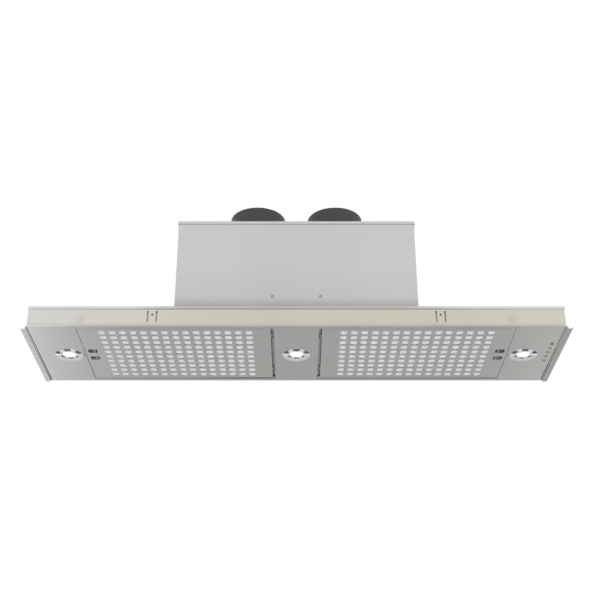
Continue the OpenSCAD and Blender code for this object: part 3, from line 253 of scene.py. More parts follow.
def filter_tint(steel, tree, place):
    """Tint of a filter's sheet: the canopy's, with painted shade on the hinge knuckles, which makes
    them darker along the hinge line."""
    x = add_node(tree, "SeparateXYZ", n0=place)
    side_x = add_node(tree, "Math", {"operation": "ABSOLUTE"}, n0=x)
    # Painted shade: the knuckles are darkened to this share of the sheet's colour
    shade_factor, fade = 0.6, 0.3 * MM
    sheet = canopy_tint(steel, tree, place)
    return dimmed(tree, sheet, side_x, shade_factor, 1.0, KNUCKLE_X - fade, KNUCKLE_X)


def cover_tint(steel, tree, place):
    """Tint of the top cover, which is painted brighter at its ends, as painted highlights."""
    x = add_node(tree, "SeparateXYZ", n0=place)
    ends, middle = steel.cover_end, steel.cover
    stops = [(0.0, ends), (0.2, ends), (0.3, middle), (0.7, middle), (0.8, ends), (1.0, ends)]
    return graded(tree, x, -HALF_W, HALF_W, stops)


def flange_tint(steel, tree, place):
    """Tint of the side flanges, with painted light: the left one is brighter than the right one. Their
    upright webs are darker than their rims, as painted shade in the grooves."""
    axes = add_node(tree, "SeparateXYZ", n0=place).outputs
    # Painted light: the left flange is lighter and the right one darker
    stops = [(0.0, steel.flange_left), (1.0, steel.flange_right)]
    sheet = graded(tree, axes["X"], -HALF_W, HALF_W, stops)
    # Painted shade: the webs, which stand in the grooves, are darkened to this share
    shade_factor, rim_h, web_z = 0.66, 3 * MM, 5 * MM
    return dimmed(tree, sheet, axes["Z"], 1.0, shade_factor, rim_h, web_z)


def housing_tint(steel, tree, place):
    """Tint of the motor housing: its foot is darker, as a painted shadow just above the top cover, and
    its middle is a little darker than its sides, as painted shade."""
    axes = add_node(tree, "SeparateXYZ", n0=place).outputs
    # Painted shadow: the housing darkens towards its foot over this height
    foot, low, shade_h = steel.housing_foot, steel.housing_low, 120 * MM
    stops = [(0.0, foot), (0.15, low), (0.3, steel.housing_middle), (1.0, steel.housing)]
    sheet = graded(tree, axes["Z"], COVER_TOP, COVER_TOP + shade_h, stops)
    # Painted shade: the middle is darker than the sides
    side_x = add_node(tree, "Math", {"operation": "ABSOLUTE"}, n0=axes["X"])
    side_gain, middle_x, outer_x = 1.035, 60 * MM, 200 * MM
    return dimmed(tree, sheet, side_x, 1.0, side_gain, middle_x, outer_x)


def galvanised_sheet(steel):
    """Hot-dip galvanised steel sheet. The zinc sets in crystals 4 to 12 mm across, each a little
    lighter or darker, which gives the dull grey its spangle."""
    material, tree, place = new_material("hot_dip_galvanised_steel")
    cells = add_node(tree, "TexVoronoi", n0=place, scale=1 / (8 * MM))
    spangle = add_node(tree, "SeparateColor", n0=cells.outputs["Color"])
    bloom = noise(tree, place, 3 * MM)
    return shaded(
        material,
        base_color=varied(tree, varied(tree, steel.zinc, spangle, 0.1), bloom, 0.05),
        metallic=0.9,
        roughness=add_node(tree, "MapRange", n0=spangle, n3=0.38, n4=0.55),
        normal=add_node(tree, "Bump", height=bloom, distance=0.02 * MM),
    )


def plated_steel(name, shade):
    """Zinc-plated steel of small turned and stamped parts, passivated clear or grey: smooth, with
    faint turning marks half a millimetre apart."""
    material, tree, place = new_material(name)
    marks = noise(tree, place, 0.5 * MM)
    return shaded(
        material,
        base_color=varied(tree, shade, marks, 0.06),
        metallic=1.0,
        roughness=add_node(tree, "MapRange", n0=marks, n3=0.22, n4=0.36),
        normal=add_node(tree, "Bump", height=marks, distance=0.01 * MM),
    )


def expanded_aluminium(mesh):
    """Mill-finish aluminium foil, slit and expanded. Its strands are bright and slightly satin, with
    rolling lines and a trace of oil that varies over a few centimetres."""
    material, tree, place = new_material("expanded_aluminium_foil")
    oil = noise(tree, place, 18 * MM)
    rolled = noise(tree, place, (4 * MM, 0.6 * MM, 0.6 * MM))
    return shaded(
        material,
        base_color=varied(tree, varied(tree, mesh.foil, oil, 0.06), rolled, 0.08),
        metallic=0.0,
        roughness=add_node(tree, "MapRange", n0=oil, n3=0.35, n4=0.6),
        normal=add_node(tree, "Bump", height=rolled, distance=0.02 * MM),
    )


def cast_aluminium(steel):
    """Die-cast aluminium, tumbled: a dull silver skin with a grain of about a millimetre."""
    material, tree, place = new_material("die_cast_aluminium")
    skin = noise(tree, place, 1.2 * MM, 4.0, 0.6)
    return shaded(
        material,
        base_color=varied(tree, steel.cast, skin, 0.07),
        metallic=0.9,
        roughness=add_node(tree, "MapRange", n0=skin, n3=0.42, n4=0.58),
        normal=add_node(tree, "Bump", height=skin, distance=0.04 * MM),
    )


def spun_aluminium(lamp, middle_y):
    """Spun and clear-anodised aluminium of the lamp trims: bright, with rings from the tool. The
    front of a trim is painted brightest, as a painted highlight."""
    material, tree, place = new_material("spun_anodised_aluminium")
    rings = noise(tree, place, 0.8 * MM)
    y = add_node(tree, "SeparateXYZ", n0=place).outputs["Y"]
    # Painted highlight: the trim brightens towards its front over this distance
    highlight_fade = 10 * MM
    stops = [(0.0, lamp.trim_front), (1.0, lamp.trim)]
    tint = graded(tree, y, middle_y - highlight_fade, middle_y, stops)
    return shaded(
        material,
        base_color=varied(tree, tint, rings, 0.04),
        metallic=0.75,
        roughness=add_node(tree, "MapRange", n0=rings, n3=0.38, n4=0.5),
        normal=add_node(tree, "Bump", height=rings, distance=0.008 * MM),
    )


def moulded_plastic(name, shade, roughness, grain, depth):
    """Injection-moulded plastic. The tool's spark-eroded skin leaves a fine grain, in millimetres,
    that breaks up its sheen."""
    material, tree, place = new_material(name)
    skin = noise(tree, place, grain * MM, 3.0)
    flow = noise(tree, place, 40 * MM, 1.0)
    return shaded(
        material,
        base_color=varied(tree, varied(tree, shade, flow, 0.05), skin, 0.06),
        roughness=add_node(tree, "MapRange", n0=skin, n3=roughness - 0.06, n4=roughness + 0.08),
        ior=1.49,
        normal=add_node(tree, "Bump", height=skin, distance=depth * MM),
    )


def foam_rubber(name, shades):
    """Cut strip of closed-cell polyethylene foam: grey, matt and pitted with cells about half a
    millimetre across. Its colour is graded along the hood as painted shade: the strips stand in
    for the shade of the lines and gaps that they fill."""
    material, tree, place = new_material(name)
    x = add_node(tree, "SeparateXYZ", n0=place)
    tint = graded(tree, x, -HALF_W, HALF_W, shades)
    cells = noise(tree, place, 0.5 * MM, 3.0)
    return shaded(
        material,
        base_color=varied(tree, tint, cells, 0.15),
        roughness=add_node(tree, "MapRange", n0=cells, n3=0.75, n4=0.95),
        ior=1.5,
        normal=add_node(tree, "Bump", height=cells, distance=0.08 * MM),
    )


def frosted_lens(lamp):
    """Polycarbonate lens, frosted inside, with a lit diode behind it: a soft white glow under a
    glossy face."""
    material, tree, place = new_material("frosted_polycarbonate")
    frost = noise(tree, place, 1.5 * MM)
    return shaded(
        material,
        base_color=varied(tree, lamp.lens, frost, 0.02),
        roughness=0.12,
        ior=1.58,
        emission_color=lamp.lens,
        emission_strength=lamp.glow,
        normal=add_node(tree, "Bump", height=frost, distance=0.01 * MM),
    )


def circuit_board(board):
    """Glass-epoxy board under green solder mask, with fine copper tracks that show through."""
    material, tree, place = new_material("glass_epoxy_board")
    bricks = add_node(tree, "TexBrick", n0=place, scale=1 / (9 * MM), mortar_size=0.06)
    tracks = bricks.outputs["Fac"]
    return shaded(
        material,
        base_color=varied(tree, board.mask, tracks, 0.25),
        roughness=0.35,
        ior=1.5,
        coat_weight=0.3,
        normal=add_node(tree, "Bump", height=tracks, distance=0.03 * MM),
    )


def dress(material, *names):
    """Gives a material to CAD nodes."""
    for name in names:
        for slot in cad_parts[name].material_slots:
            slot.material = material


# Mesh pieces


def new_object(name, data):
    """Object in the scene that shows a mesh, a light or a camera."""
    thing = bpy.data.objects.new(name, data)
    bpy.context.scene.collection.objects.link(thing)
    return thing


def new_piece(name, points, faces, material, body, smooth=True):
    """Mesh object in the shared frame that moves with a body."""
    mesh = bpy.data.meshes.new(name)
    mesh.from_pydata(points, [], faces)
    mesh.validate()
    if smooth:
        mesh.shade_smooth()
    else:
        mesh.shade_flat()
    mesh.materials.append(material)
    piece = new_object(name, mesh)
    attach(piece, body)
    return piece


def lathe(profile, steps, shape=None):
    """Points and faces of a closed profile of (radius, height) pairs, turned about Z.

    The profile starts and ends on the axis. shape may move a point.
    """
    points, faces = [], []
    rings = profile[1:-1]
    for radius, height in rings:
        for i in range(steps):
            angle = math.tau * i / steps
            point = Vector((radius * math.cos(angle), radius * math.sin(angle), height))
            points.append(shape(point) if shape else point)
    for j in range(len(rings) - 1):
        for i in range(steps):
            a, b = j * steps + i, j * steps + (i + 1) % steps
            faces.append((a, b, b + steps, a + steps))
    for ring, (radius, height) in ((0, profile[0]), (len(rings) - 1, profile[-1])):
        points.append(Vector((0, 0, height)))
        tip = len(points) - 1
        for i in range(steps):
            a, b = ring * steps + i, ring * steps + (i + 1) % steps
            faces.append((b, a, tip) if ring == 0 else (a, b, tip))
    return points, faces


def vented_ring(section, steps, depth):
    """Closed section turned about Z, as points, faces and, for each face, whether it floors a vent.

    A row of the section is a radius, a height and the vents that cut it, as (middle, half width)
    pairs in degrees from the front. Inside a vent its points are raised by depth.
    """
    points, raised = [], []
    for radius, height, vents in section:
        for i in range(steps):
            turn = 360 * i / steps
            inside = any(abs((turn - middle + 180) % 360 - 180) < half for middle, half in vents)
            angle = math.radians(turn)
            z = height + depth * inside
            points.append(Vector((radius * math.sin(angle), -radius * math.cos(angle), z)))
            raised.append(inside)
    faces, floors = [], []
    for j in range(len(section)):
        inner = (j + 1) % len(section)
        for i in range(steps):
            k = (i + 1) % steps
            face = (j * steps + i, inner * steps + i, inner * steps + k, j * steps + k)
            faces.append(face)
            floors.append(all(raised[p] for p in face))
    return points, faces, floors


def block(low, high):
    """Points and faces of a box between two corners."""
    xs, ys, zs = zip(low, high)
    points = [Vector((x, y, z)) for z in zs for y in ys for x in xs]
    faces = [(0, 2, 3, 1), (4, 5, 7, 6), (0, 1, 5, 4), (1, 3, 7, 5), (3, 2, 6, 7), (2, 0, 4, 6)]
    return points, faces


def placed(shapes):
    """Joins (matrix, points, faces) shapes into one list of points and one of faces."""
    points, faces = [], []
    for matrix, own_points, own_faces in shapes:
        start = len(points)
        points += [matrix @ p for p in own_points]
        faces += [tuple(start + i for i in face) for face in own_faces]
    return points, faces


def bead(middle, half, radius):
    """Half-round bead along the four walls of a box, with mitred corners."""
    steps = 6
    corners = [(-1, -1), (1, -1), (1, 1), (-1, 1)]
    points = []
    for x, y in corners:
        for k in range(steps + 1):
            angle = math.pi * (k / steps - 0.5)
            out, up = radius * math.cos(angle), radius * math.sin(angle)
            points.append(middle + Vector((x * (half.x + out), y * (half.y + out), up)))
    faces = []
    for i in range(len(corners)):
        start, following = i * (steps + 1), (i + 1) % len(corners) * (steps + 1)
        for k in range(steps):
            faces.append((start + k, following + k, following + k + 1, start + k + 1))
    return points, faces


def mesh_layer(low, high, z, pitch, strand, tilt, shift):
    """One layer of expanded metal between two corners: rows of zigzag strands that meet in diamonds,
    each strand a ribbon of two faces, tilted as the press leaves it."""
    points, faces = [], []
    half_step = pitch / 2
    row_step = pitch / 4
    swing = pitch / 8
    across = strand / 2 * math.cos(tilt)
    rise = strand / 2 * math.sin(tilt)
    # The rolls leave the layer wavy, and each strand has a rounded back
    wave_h, wave_x, wave_y, crown = 0.4 * MM, 210, 160, 0.12
    steps = int((high.x - low.x) / half_step)
    rows = int((high.y - low.y - 2 * swing) / row_step)
    for j in range(rows):
        start = len(points)
        y0 = low.y + swing + row_step * (j + 0.5)
        for k in range(steps + 1):
            up = 1 if (j + k + shift) % 2 else -1
            x = low.x + k * half_step
            y = y0 + swing * up
            wave = wave_h * math.sin(x * wave_x + shift * 2) * math.cos(y * wave_y)
            y_low = max(y - across, low.y)
            y_high = min(y + across, high.y)
            points += [(x, y_low, z - rise + wave), (x, y, z + wave + strand * crown)]
            points.append((x, y_high, z + rise + wave))
        for k in range(steps):
            a = start + 3 * k
            faces += [(a, a + 3, a + 4, a + 1), (a + 1, a + 4, a + 5, a + 2)]
    return points, faces


# Sizes and colours that a user may change


def swatch(name, description, text):
    """Colour setting whose default is an sRGB hex colour."""
    settings = {"subtype": "COLOR", "size": 4, "min": 0, "max": 1, "default": colour(text)}
    return FloatVectorProperty(name=name, description=f"Colour of {description}", **settings)


def number(name, description, low, high, default, **kind):
    """Number setting with its limits."""
    limits = {"min": low, "max": high, "default": default}
    return FloatProperty(name=name, description=description, **limits, **kind)


class HOOD_PG_steel(bpy.types.PropertyGroup):
    """Steel and castings"""

    # The front face's and the underside's colours carry painted light: lighter at the ends, darker in
    # the middle
    face_middle: swatch("Front Face, Middle", "the front face at its middle", "#C9C6B7")
    face_side: swatch("Front Face, Sides", "the front face between its middle and its ends", "#D0CDC1")
    face_end: swatch("Front Face, Ends", "the front face at its ends", "#D4D2CF")
    under_left: swatch("Underside, Left", "the underside's left end", "#F2F2F2")
    under_left_inner: swatch("Underside, Left, Inner", "the underside by the left filter", "#D7D7D7")
    filter_left: swatch("Left Filter, Outer Edge", "the left filter's outer edge", "#D8D8D7")
    under_middle: swatch("Underside, Middle", "the underside's middle", "#CAC9C6")
    under_right: swatch("Underside, Right", "the underside's right end", "#E2E0DD")
    # The flanges' two colours are painted light: lit at the left, shaded at the right
    flange_left: swatch("Left Flange", "the left side flange", "#F3F3F3")
    flange_right: swatch("Right Flange", "the right side flange", "#C8C7C4")
    # The top cover's lighter ends are painted highlights
    cover: swatch("Top Cover", "the canopy's top cover and its lip", "#BDBBB8")
    cover_end: swatch("Top Cover, Ends", "the top cover's ends", "#D8D8D8")
    # The housing's lower colours are a painted shadow above the top cover
    housing: swatch("Motor Housing", "the motor housing and its lid", "#C7C7C5")
    housing_middle: swatch("Motor Housing, Middle", "the housing 36 mm above its foot", "#C0C0BE")
    housing_low: swatch("Motor Housing, Low Down", "the housing 18 mm above its foot", "#ABABA9")
    housing_foot: swatch("Motor Housing, Foot", "the motor housing at its foot", "#969694")
    # The foam strips' colours are painted shade of the lines and gaps that they fill
    seal: swatch("Lid Seals", "the foam strips under the lids' lips", "#92918D")
    seal_end: swatch("Lid Seals, Ends", "the foam strips at the hood's ends", "#E0E0DC")
    # The filter rests' colours are painted shade of the gaps behind and beside the filters
    rest_outer: swatch("Left Outer Rest", "the foam beside the left filter", "#A8A8A6")
    rest_end: swatch("Filter Rests, Ends", "the foam at the filters' outer ends", "#D8D8D4")
    rest: swatch("Filter Rests", "the foam behind the filters", "#B2B2B0")
    rest_deep_shade: swatch("Filter Rests, Greasy", "the foam by the left filter's inner end", "#585858")
    # The groove seals' colour is painted shade of the grooves
    groove_seal: swatch("Groove Seals", "the foam strips in the side flanges' grooves", "#BAB9B4")
    zinc: swatch("Galvanised Sheet", "the galvanised inner parts", "#B4B6B6")
    plating: swatch("Zinc Plating", "screws, springs, pins and shafts", "#B9BCC0")
    slide_plating: swatch("Slide Plating", "the latch slides", "#A2A2A2")
    grey_plating: swatch("Grey Zinc Plating", "the screws in the housing's front wall", "#A4A4A2")
    cast: swatch("Castings", "the motors and lamp bodies", "#B9BBBD")
    roughness: number("Roughness", "Roughness of the brushed steel", 0.1, 0.6, 0.32, subtype="FACTOR")
    grain: number("Brush Lines", "Width of the coarse brush lines, in millimetres", 0.5, 8, 3.0)


class HOOD_PG_mesh(bpy.types.PropertyGroup):
    """Filter mesh"""

    foil: swatch("Foil", "the expanded aluminium", "#FDFDFC")
    pitch: number("Diamond Length", "Length of one diamond", 0.006, 0.02, 0.010, unit="LENGTH")
    strand: number("Strand Width", "Width of a strand", 0.0006, 0.0024, 0.0019, unit="LENGTH")
    layers: IntProperty(name="Layers", description="Layers of mesh in a pad", min=2, max=5, default=4)


class HOOD_PG_lamp(bpy.types.PropertyGroup):
    """Lamps and buttons"""

    # The trims' brighter front is a painted highlight
    trim: swatch("Trim", "the lamp trims", "#EDEDEB")
    trim_front: swatch("Trim, Front", "the front of the lamp trims", "#FFFFFE")
    lens: swatch("Lens", "the lenses", "#FBFBF9")
    glow: number("Glow", "Strength of a lens's glow", 0, 3, 0.4)
    black: swatch("Black Plastic", "the collars, wheels and other black parts", "#383838")
    pocket: swatch("Latch Pockets", "the latch pockets", "#8C8C8C")
    # The vent liner's dark colour is painted shade
    liner: swatch("Vent Liner", "the inside of the trims' vents", "#646464")
    main_button: swatch("Main Button", "the front button", "#5E5E5C")
    button: swatch("Light Buttons", "the four light buttons", "#949492")
    white: swatch("White Plastic", "the capacitors", "#DADAD6")
    mask: swatch("Circuit Board", "the boards", "#1F5A3A")


class HOOD_PG_stage(bpy.types.PropertyGroup):
    """Floor, light and camera"""

    floor_drop: number(
        "Floor Drop", "Distance of the floor below the hood", 0.2, 3, 1.65, unit="LENGTH"
    )
    floor_size: number("Floor Size", "Radius of the floor", 1, 20, 9.0, unit="LENGTH")
    floor: swatch("Floor", "the floor", "#DADADA")
    daylight: number("Room Light", "Strength of the light from all round", 0, 2, 0.75)
    front_light: number(
        "Front Light", "Power of the light below the camera", 0, 200, 22.0, unit="POWER"
    )
    side_light: number("Side Light", "Power of the light at the left", 0, 200, 6.0, unit="POWER")
    lens_length: number(
        "Lens", "Focal length of the camera, in millimetres", 20, 200, 67.05, subtype="DISTANCE_CAMERA"
    )


# Operators, one for each group of pieces


class HOOD_OT_finish_canopy(bpy.types.Operator):
    """Brushed steel on the canopy, and galvanised sheet on the parts inside it"""

    bl_idname = "hood.finish_canopy"
    bl_label = "Finish Canopy"

    def execute(self, context):
        steel = context.scene.hood_steel
        dress(brushed_stainless("canopy", canopy_tint, steel), "canopy_pan")
        dress(brushed_stainless("cover", cover_tint, steel), "canopy_top")
        flange = brushed_stainless("flange", flange_tint, steel, rougher=-0.1, along=1)
        dress(flange, "side_flange_left", "side_flange_right")
        inside = ("centre_channel", "end_partitions", "hinge_brackets", "front_nuts")
        dress(galvanised_sheet(steel), *inside, "keeper_left", "keeper_right")
        return {"FINISHED"}


class HOOD_OT_build_seals(bpy.types.Operator):
    """Foam strips under the lids' lips, in the side flanges' grooves and round the filters, whose
    colours are painted shade of the lines they fill
    """

    bl_idname = "hood.build_seals"
    bl_label = "Build Seals"

    def execute(self, context):
        steel = context.scene.hood_steel
        # Painted shade: the dark strips under the lips stand for the shadow line there, lighter towards
        # the ends
        end, main = steel.seal_end, steel.seal
        stops = [(0.026, end), (0.241, main), (0.759, main), (0.974, end)]
        dark = foam_rubber("cut_dark_polyethylene_foam", stops)
        lips, grooves, rests = [], [], []
        for wall, lid, radius in (
            ("canopy_pan", "canopy_top", 0.55 * MM),
            ("motor_housing", "housing_top", 0.3 * MM),
        ):
            low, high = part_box(wall)
            middle = (low + high) / 2
            middle.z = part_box(lid)[0].z - radius
            lips.append((Matrix(), *bead(middle, (high - low) / 2, radius)))
        groove, play = 3.6 * MM, 0.2 * MM
        groove_z = (2.4 * MM, 5 * MM)
        for side, sign in SIDES.items():
            low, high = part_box(f"side_flange_{side}")
            wall_x = min(abs(low.x), abs(high.x)) + SHEET
            near, far = sorted((sign * wall_x, sign * (wall_x + groove)))
            seal = block((near, low.y + play, groove_z[0]), (far, high.y - play, groove_z[1]))
            grooves.append((Matrix(), *seal))
        # Behind each filter, behind its hinge and beside its outer edge
        rear_play, rear_w, hinge_w, side_w = 0.4 * MM, 3.2 * MM, 4 * MM, 0.4 * MM
        rear_z, hinge_z, side_z = (3.2 * MM, 4.4 * MM), (2.8 * MM, 7.2 * MM), (2.3 * MM, 3 * MM)
        for side, sign in SIDES.items():
            low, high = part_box(f"filter_face_{side}")
            outer = max(abs(low.x), abs(high.x))
            rear = (high.y + rear_play, high.y + rear_play + rear_w)
            for xs, ys, zs in (
                ((KNUCKLE_X, outer), rear, rear_z),
                ((KNUCKLE_X - hinge_w, KNUCKLE_X), rear, hinge_z),
                ((outer + play, outer + play + side_w), (low.y, high.y), side_z),
            ):
                xs = sorted(sign * x for x in xs)
                rests.append((Matrix(), *block(*zip(xs, ys, zs))))
        # Painted shade: the grey strips in the grooves stand for the shade line along the side flanges
        stops = [(0.0, steel.groove_seal), (1.0, steel.groove_seal)]
        grey = foam_rubber("cut_grey_polyethylene_foam", stops)
        # Painted shade: the rests' colours stand for the shade in the gaps, deepest by the left
        # filter's inner end
        lightest, gap_shade, deep_gap_shade = steel.rest_end, steel.rest, steel.rest_deep_shade
        # From left to right: beside the left filter, behind it, behind the hinges, and the same again
        stops = [(0.1016, steel.rest_outer), (0.103, lightest), (0.2, lightest), (0.3, gap_shade), (0.39, deep_gap_shade)]
        stops += [(0.453, deep_gap_shade), (0.4536, lightest), (0.5464, lightest), (0.547, gap_shade), (0.897, gap_shade)]
        light = foam_rubber("cut_light_polyethylene_foam", [*stops, (0.8985, lightest)])
        for name, foam, parts in (
            ("lid_seal_strips", dark, lips),
            ("groove_seal_strips", grey, grooves),
            ("filter_rest_strips", light, rests),
        ):
            strips = new_piece(name, *placed(parts), foam, "hood")
        return {"FINISHED"}


class HOOD_OT_finish_housing(bpy.types.Operator):
    """Brushed steel on the motor housing and its lid"""

    bl_idname = "hood.finish_housing"
    bl_label = "Finish Motor Housing"

    def execute(self, context):
        steel = context.scene.hood_steel
        housing = brushed_stainless("housing", housing_tint, steel, rougher=0.06)
        dress(housing, "motor_housing", "housing_top")
        return {"FINISHED"}


class HOOD_OT_build_filters(bpy.types.Operator):
    """Brushed sheet on the filters, with pads of expanded metal in place of the plain ones"""

    bl_idname = "hood.build_filters"
    bl_label = "Build Filters"

    def execute(self, context):
        steel, mesh = context.scene.hood_steel, context.scene.hood_mesh
        sheet = brushed_stainless("filter", filter_tint, steel)
        foil = expanded_aluminium(mesh)
        for side in SIDES:
            dress(sheet, f"filter_face_{side}", f"filter_back_{side}")
            low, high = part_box(f"filter_mesh_{side}")
            rim, lean = 0.2 * MM, math.radians(28)
            step = (high.z - low.z - 2 * rim) / mesh.layers
            shapes = []
            for i in range(mesh.layers):
                z = low.z + rim + step * (i + 0.5)
                tilt = lean if i % 2 else -lean
                points, faces = mesh_layer(low, high, z, mesh.pitch, mesh.strand, tilt, i)
                shapes.append((Matrix(), [Vector(p) for p in points], faces))
            pad = new_piece(f"mesh_pad_{side}", *placed(shapes), foil, f"filter_{side}")
            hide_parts(f"filter_mesh_{side}")
        return {"FINISHED"}


class HOOD_OT_build_latches(bpy.types.Operator):
    """Latch pockets and slides, with coil springs of round wire"""

    bl_idname = "hood.build_latches"
    bl_label = "Build Latches"

    def execute(self, context):
        steel, lamp = context.scene.hood_steel, context.scene.hood_lamp
        bright = plated_steel("clear_zinc_plated_spring", steel.plating)
        slide = plated_steel("grey_zinc_plated_slide", steel.slide_plating)
        pocket = moulded_plastic("moulded_grey_polyamide", lamp.pocket, 0.42, 0.6, 0.02)
        for side, sign in SIDES.items():
            dress(slide, f"latch_slide_{side}")
            dress(pocket, f"latch_pocket_{side}")
            low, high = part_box(f"latch_spring_{side}")
            centre = (low + high) / 2
            wire, travel = 0.35 * MM, 6 * MM
            radius = (high.z - low.z) / 2 - wire
            length = high.x - low.x - 2 * wire
            turns, steps, sides = 6, 24, 8
            points, faces = [], []
            for i in range(turns * steps + 1):
                angle = math.tau * i / steps
                x = -length / 2 + length * i / (turns * steps)
                for k in range(sides):
                    t = math.tau * k / sides
                    r = radius + wire * math.cos(t)
                    offset = (x + wire * math.sin(t), r * math.cos(angle), r * math.sin(angle))
                    points.append(centre + Vector(offset))
            for i in range(turns * steps):
                for k in range(sides):
                    a, b = i * sides + k, i * sides + (k + 1) % sides
                    faces.append((a, b, b + sides, a + sides))
            last = turns * steps * sides
            faces += [tuple(range(sides - 1, -1, -1)), tuple(range(last, last + sides))]
            spring = new_piece(f"coil_spring_{side}", points, faces, bright, f"filter_{side}")
            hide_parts(f"latch_spring_{side}")
            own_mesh(spring)
        return {"FINISHED"}


class HOOD_OT_build_lamps(bpy.types.Operator):
    """Lamp trims with vents in their rims and reflectors, and domed lenses that have prism rings"""

    bl_idname = "hood.build_lamps"
    bl_label = "Build Lamps"

    def execute(self, context):
        steel, lamp = context.scene.hood_steel, context.scene.hood_lamp
        dress(cast_aluminium(steel), "lamp_housings")
        low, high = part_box("lamp_lenses")
        radius = (high.y - low.y) / 2
        middle_y = (low.y + high.y) / 2
        places = (low.x + radius, (low.x + high.x) / 2, high.x - radius)
        self.build_trims(lamp, places, middle_y, low.z)
        thickness, play = high.z - low.z, 0.1 * MM
        sight = TRIM_SIGHT - play
        bulge, rings = 1.2 * MM, 7
        # Shares: the rim's drop, the fall from the middle to the rim, and a prism's width and height
        rim, fall, prism_w, prism_h = 0.3, 0.6, 0.1, 0.85
        profile = [(0, thickness), (radius, thickness), (radius, 0), (sight, 0), (sight, -rim * bulge)]
        for i in range(rings, 1, -1):
            r = sight * i / (rings + 1)
            drop = bulge * (1 - fall * (i / rings) ** 2)
            profile += [(r + sight * prism_w, -prism_h * drop), (r, -drop)]
        profile.append((0, -bulge))
        shape = lathe(profile[::-1], 64)
        shapes = [(Matrix.Translation((x, middle_y, low.z)), *shape) for x in places]
        lenses = new_piece("lamp_lens_set", *placed(shapes), frosted_lens(lamp), "hood", smooth=False)
        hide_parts("lamp_lenses")
        return {"FINISHED"}

    def build_trims(self, lamp, places, middle_y, lens_z):
        """Trims that stand just above the flanges' lower edge. Each has three vents in the front of its
        rim, six in the reflector round the lens, and two tabs on its tube."""
        steps, depth, play, wall = 180, 1.4 * MM, 0.15 * MM, 1.2 * MM
        # Widths of the rim outside the tube, of the cone, and of the room round the lens
        edge_w, cone_w, cup_w = 2.6 * MM, 4.5 * MM, 2.8 * MM
        # Rounding and vents of the rim, gap under the lens, and floor of the room round it
        round_w, round_h, vent_w, lens_gap, floor_h = (n * MM for n in (0.5, 0.45, 8, 0.8, 0.8))
        half_tab, tab_l = 4 * MM, 8 * MM
        face_z, plate_z = CAD_BOX[0][2] + play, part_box("canopy_pan")[0].z
        rim_r = places[0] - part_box("lamp_trims")[0].x
        tube_r, tube_top = rim_r - edge_w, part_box("lamp_trims")[1].z
        cup_r, cone_r = TRIM_SIGHT + cup_w, TRIM_SIGHT + cone_w
        cone_top = lens_z - lens_gap
        # Vents of the rim and of the cone, as (middle, half width) in degrees
        rim_vents = [(turn, 18) for turn in (-57, 0, 57)]
        cone_vents = [(turn, 19) for turn in range(0, 360, 60)]
        # Shares of the cone's height between which its vents lie, and the width of their edges
        vent_low, vent_high, edge = 0.09, 0.8, 0.03

        def on_cone(share):
            """Radius and height at a share of the way up the reflector's cone."""
            return cone_r + (TRIM_SIGHT - cone_r) * share, face_z + (cone_top - face_z) * share

        section = [
            (rim_r, plate_z, ()),
            (rim_r, face_z + round_h, rim_vents),
            (rim_r - round_w, face_z, rim_vents),
            (rim_r - vent_w, face_z, rim_vents),
            (rim_r - vent_w - play, face_z, ()),
            (*on_cone(0), ()),
            (*on_cone(vent_low - edge), ()),
            (*on_cone(vent_low), cone_vents),
            (*on_cone(vent_high), cone_vents),
            (*on_cone(vent_high + edge), ()),
            (*on_cone(1), ()),
            (TRIM_SIGHT, lens_z, ()),
            (cup_r, lens_z, ()),
            (cup_r, plate_z + floor_h, ()),
            (tube_r - wall, plate_z + floor_h, ()),
            (tube_r - wall, tube_top, ()),
            (tube_r, tube_top, ()),
            (tube_r, plate_z, ()),
        ]
        points, faces, floors = vented_ring(section, steps, depth)
        shapes = [(Matrix.Translation((x, middle_y, 0)), points, faces) for x in places]
        tab_z = plate_z + SHEET
        for x in places:
            for s in (-1, 1):
                ends = sorted(middle_y + s * r for r in (tube_r - wall / 2, tube_r + tab_l))
                sides, heights = (x - half_tab, x + half_tab), (tab_z, tab_z + wall)
                shapes.append((Matrix(), *block(*zip(sides, ends, heights))))
        metal = spun_aluminium(lamp, middle_y)
        trims = new_piece("lamp_trim_set", *placed(shapes), metal, "hood", smooth=False)
        # Painted shade: the shallow vent floors get a dark liner that stands for the shade of deep
        # vents
        liner = moulded_plastic("moulded_grey_vent_liner", lamp.liner, 0.75, 0.6, 0.02)
        trims.data.materials.append(liner)
        for face, floor in zip(trims.data.polygons, floors * len(places)):
            face.material_index = int(floor)
        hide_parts("lamp_trims")


class HOOD_OT_finish_buttons(bpy.types.Operator):
    """Moulded buttons in their block, with the board over them"""

    bl_idname = "hood.finish_buttons"
    bl_label = "Finish Buttons"

    def execute(self, context):
        lamp = context.scene.hood_lamp
        black = moulded_plastic("moulded_black_abs", lamp.black, 0.32, 0.4, 0.01)
        dark = moulded_plastic("moulded_dark_grey_abs", lamp.main_button, 0.3, 0.4, 0.01)
        grey = moulded_plastic("moulded_grey_abs", lamp.button, 0.3, 0.4, 0.01)
        dress(black, "button_block")
        dress(dark, "button_1")
        dress(grey, "button_2", "button_3", "button_4", "button_5")
        dress(circuit_board(lamp), "button_board")
        return {"FINISHED"}


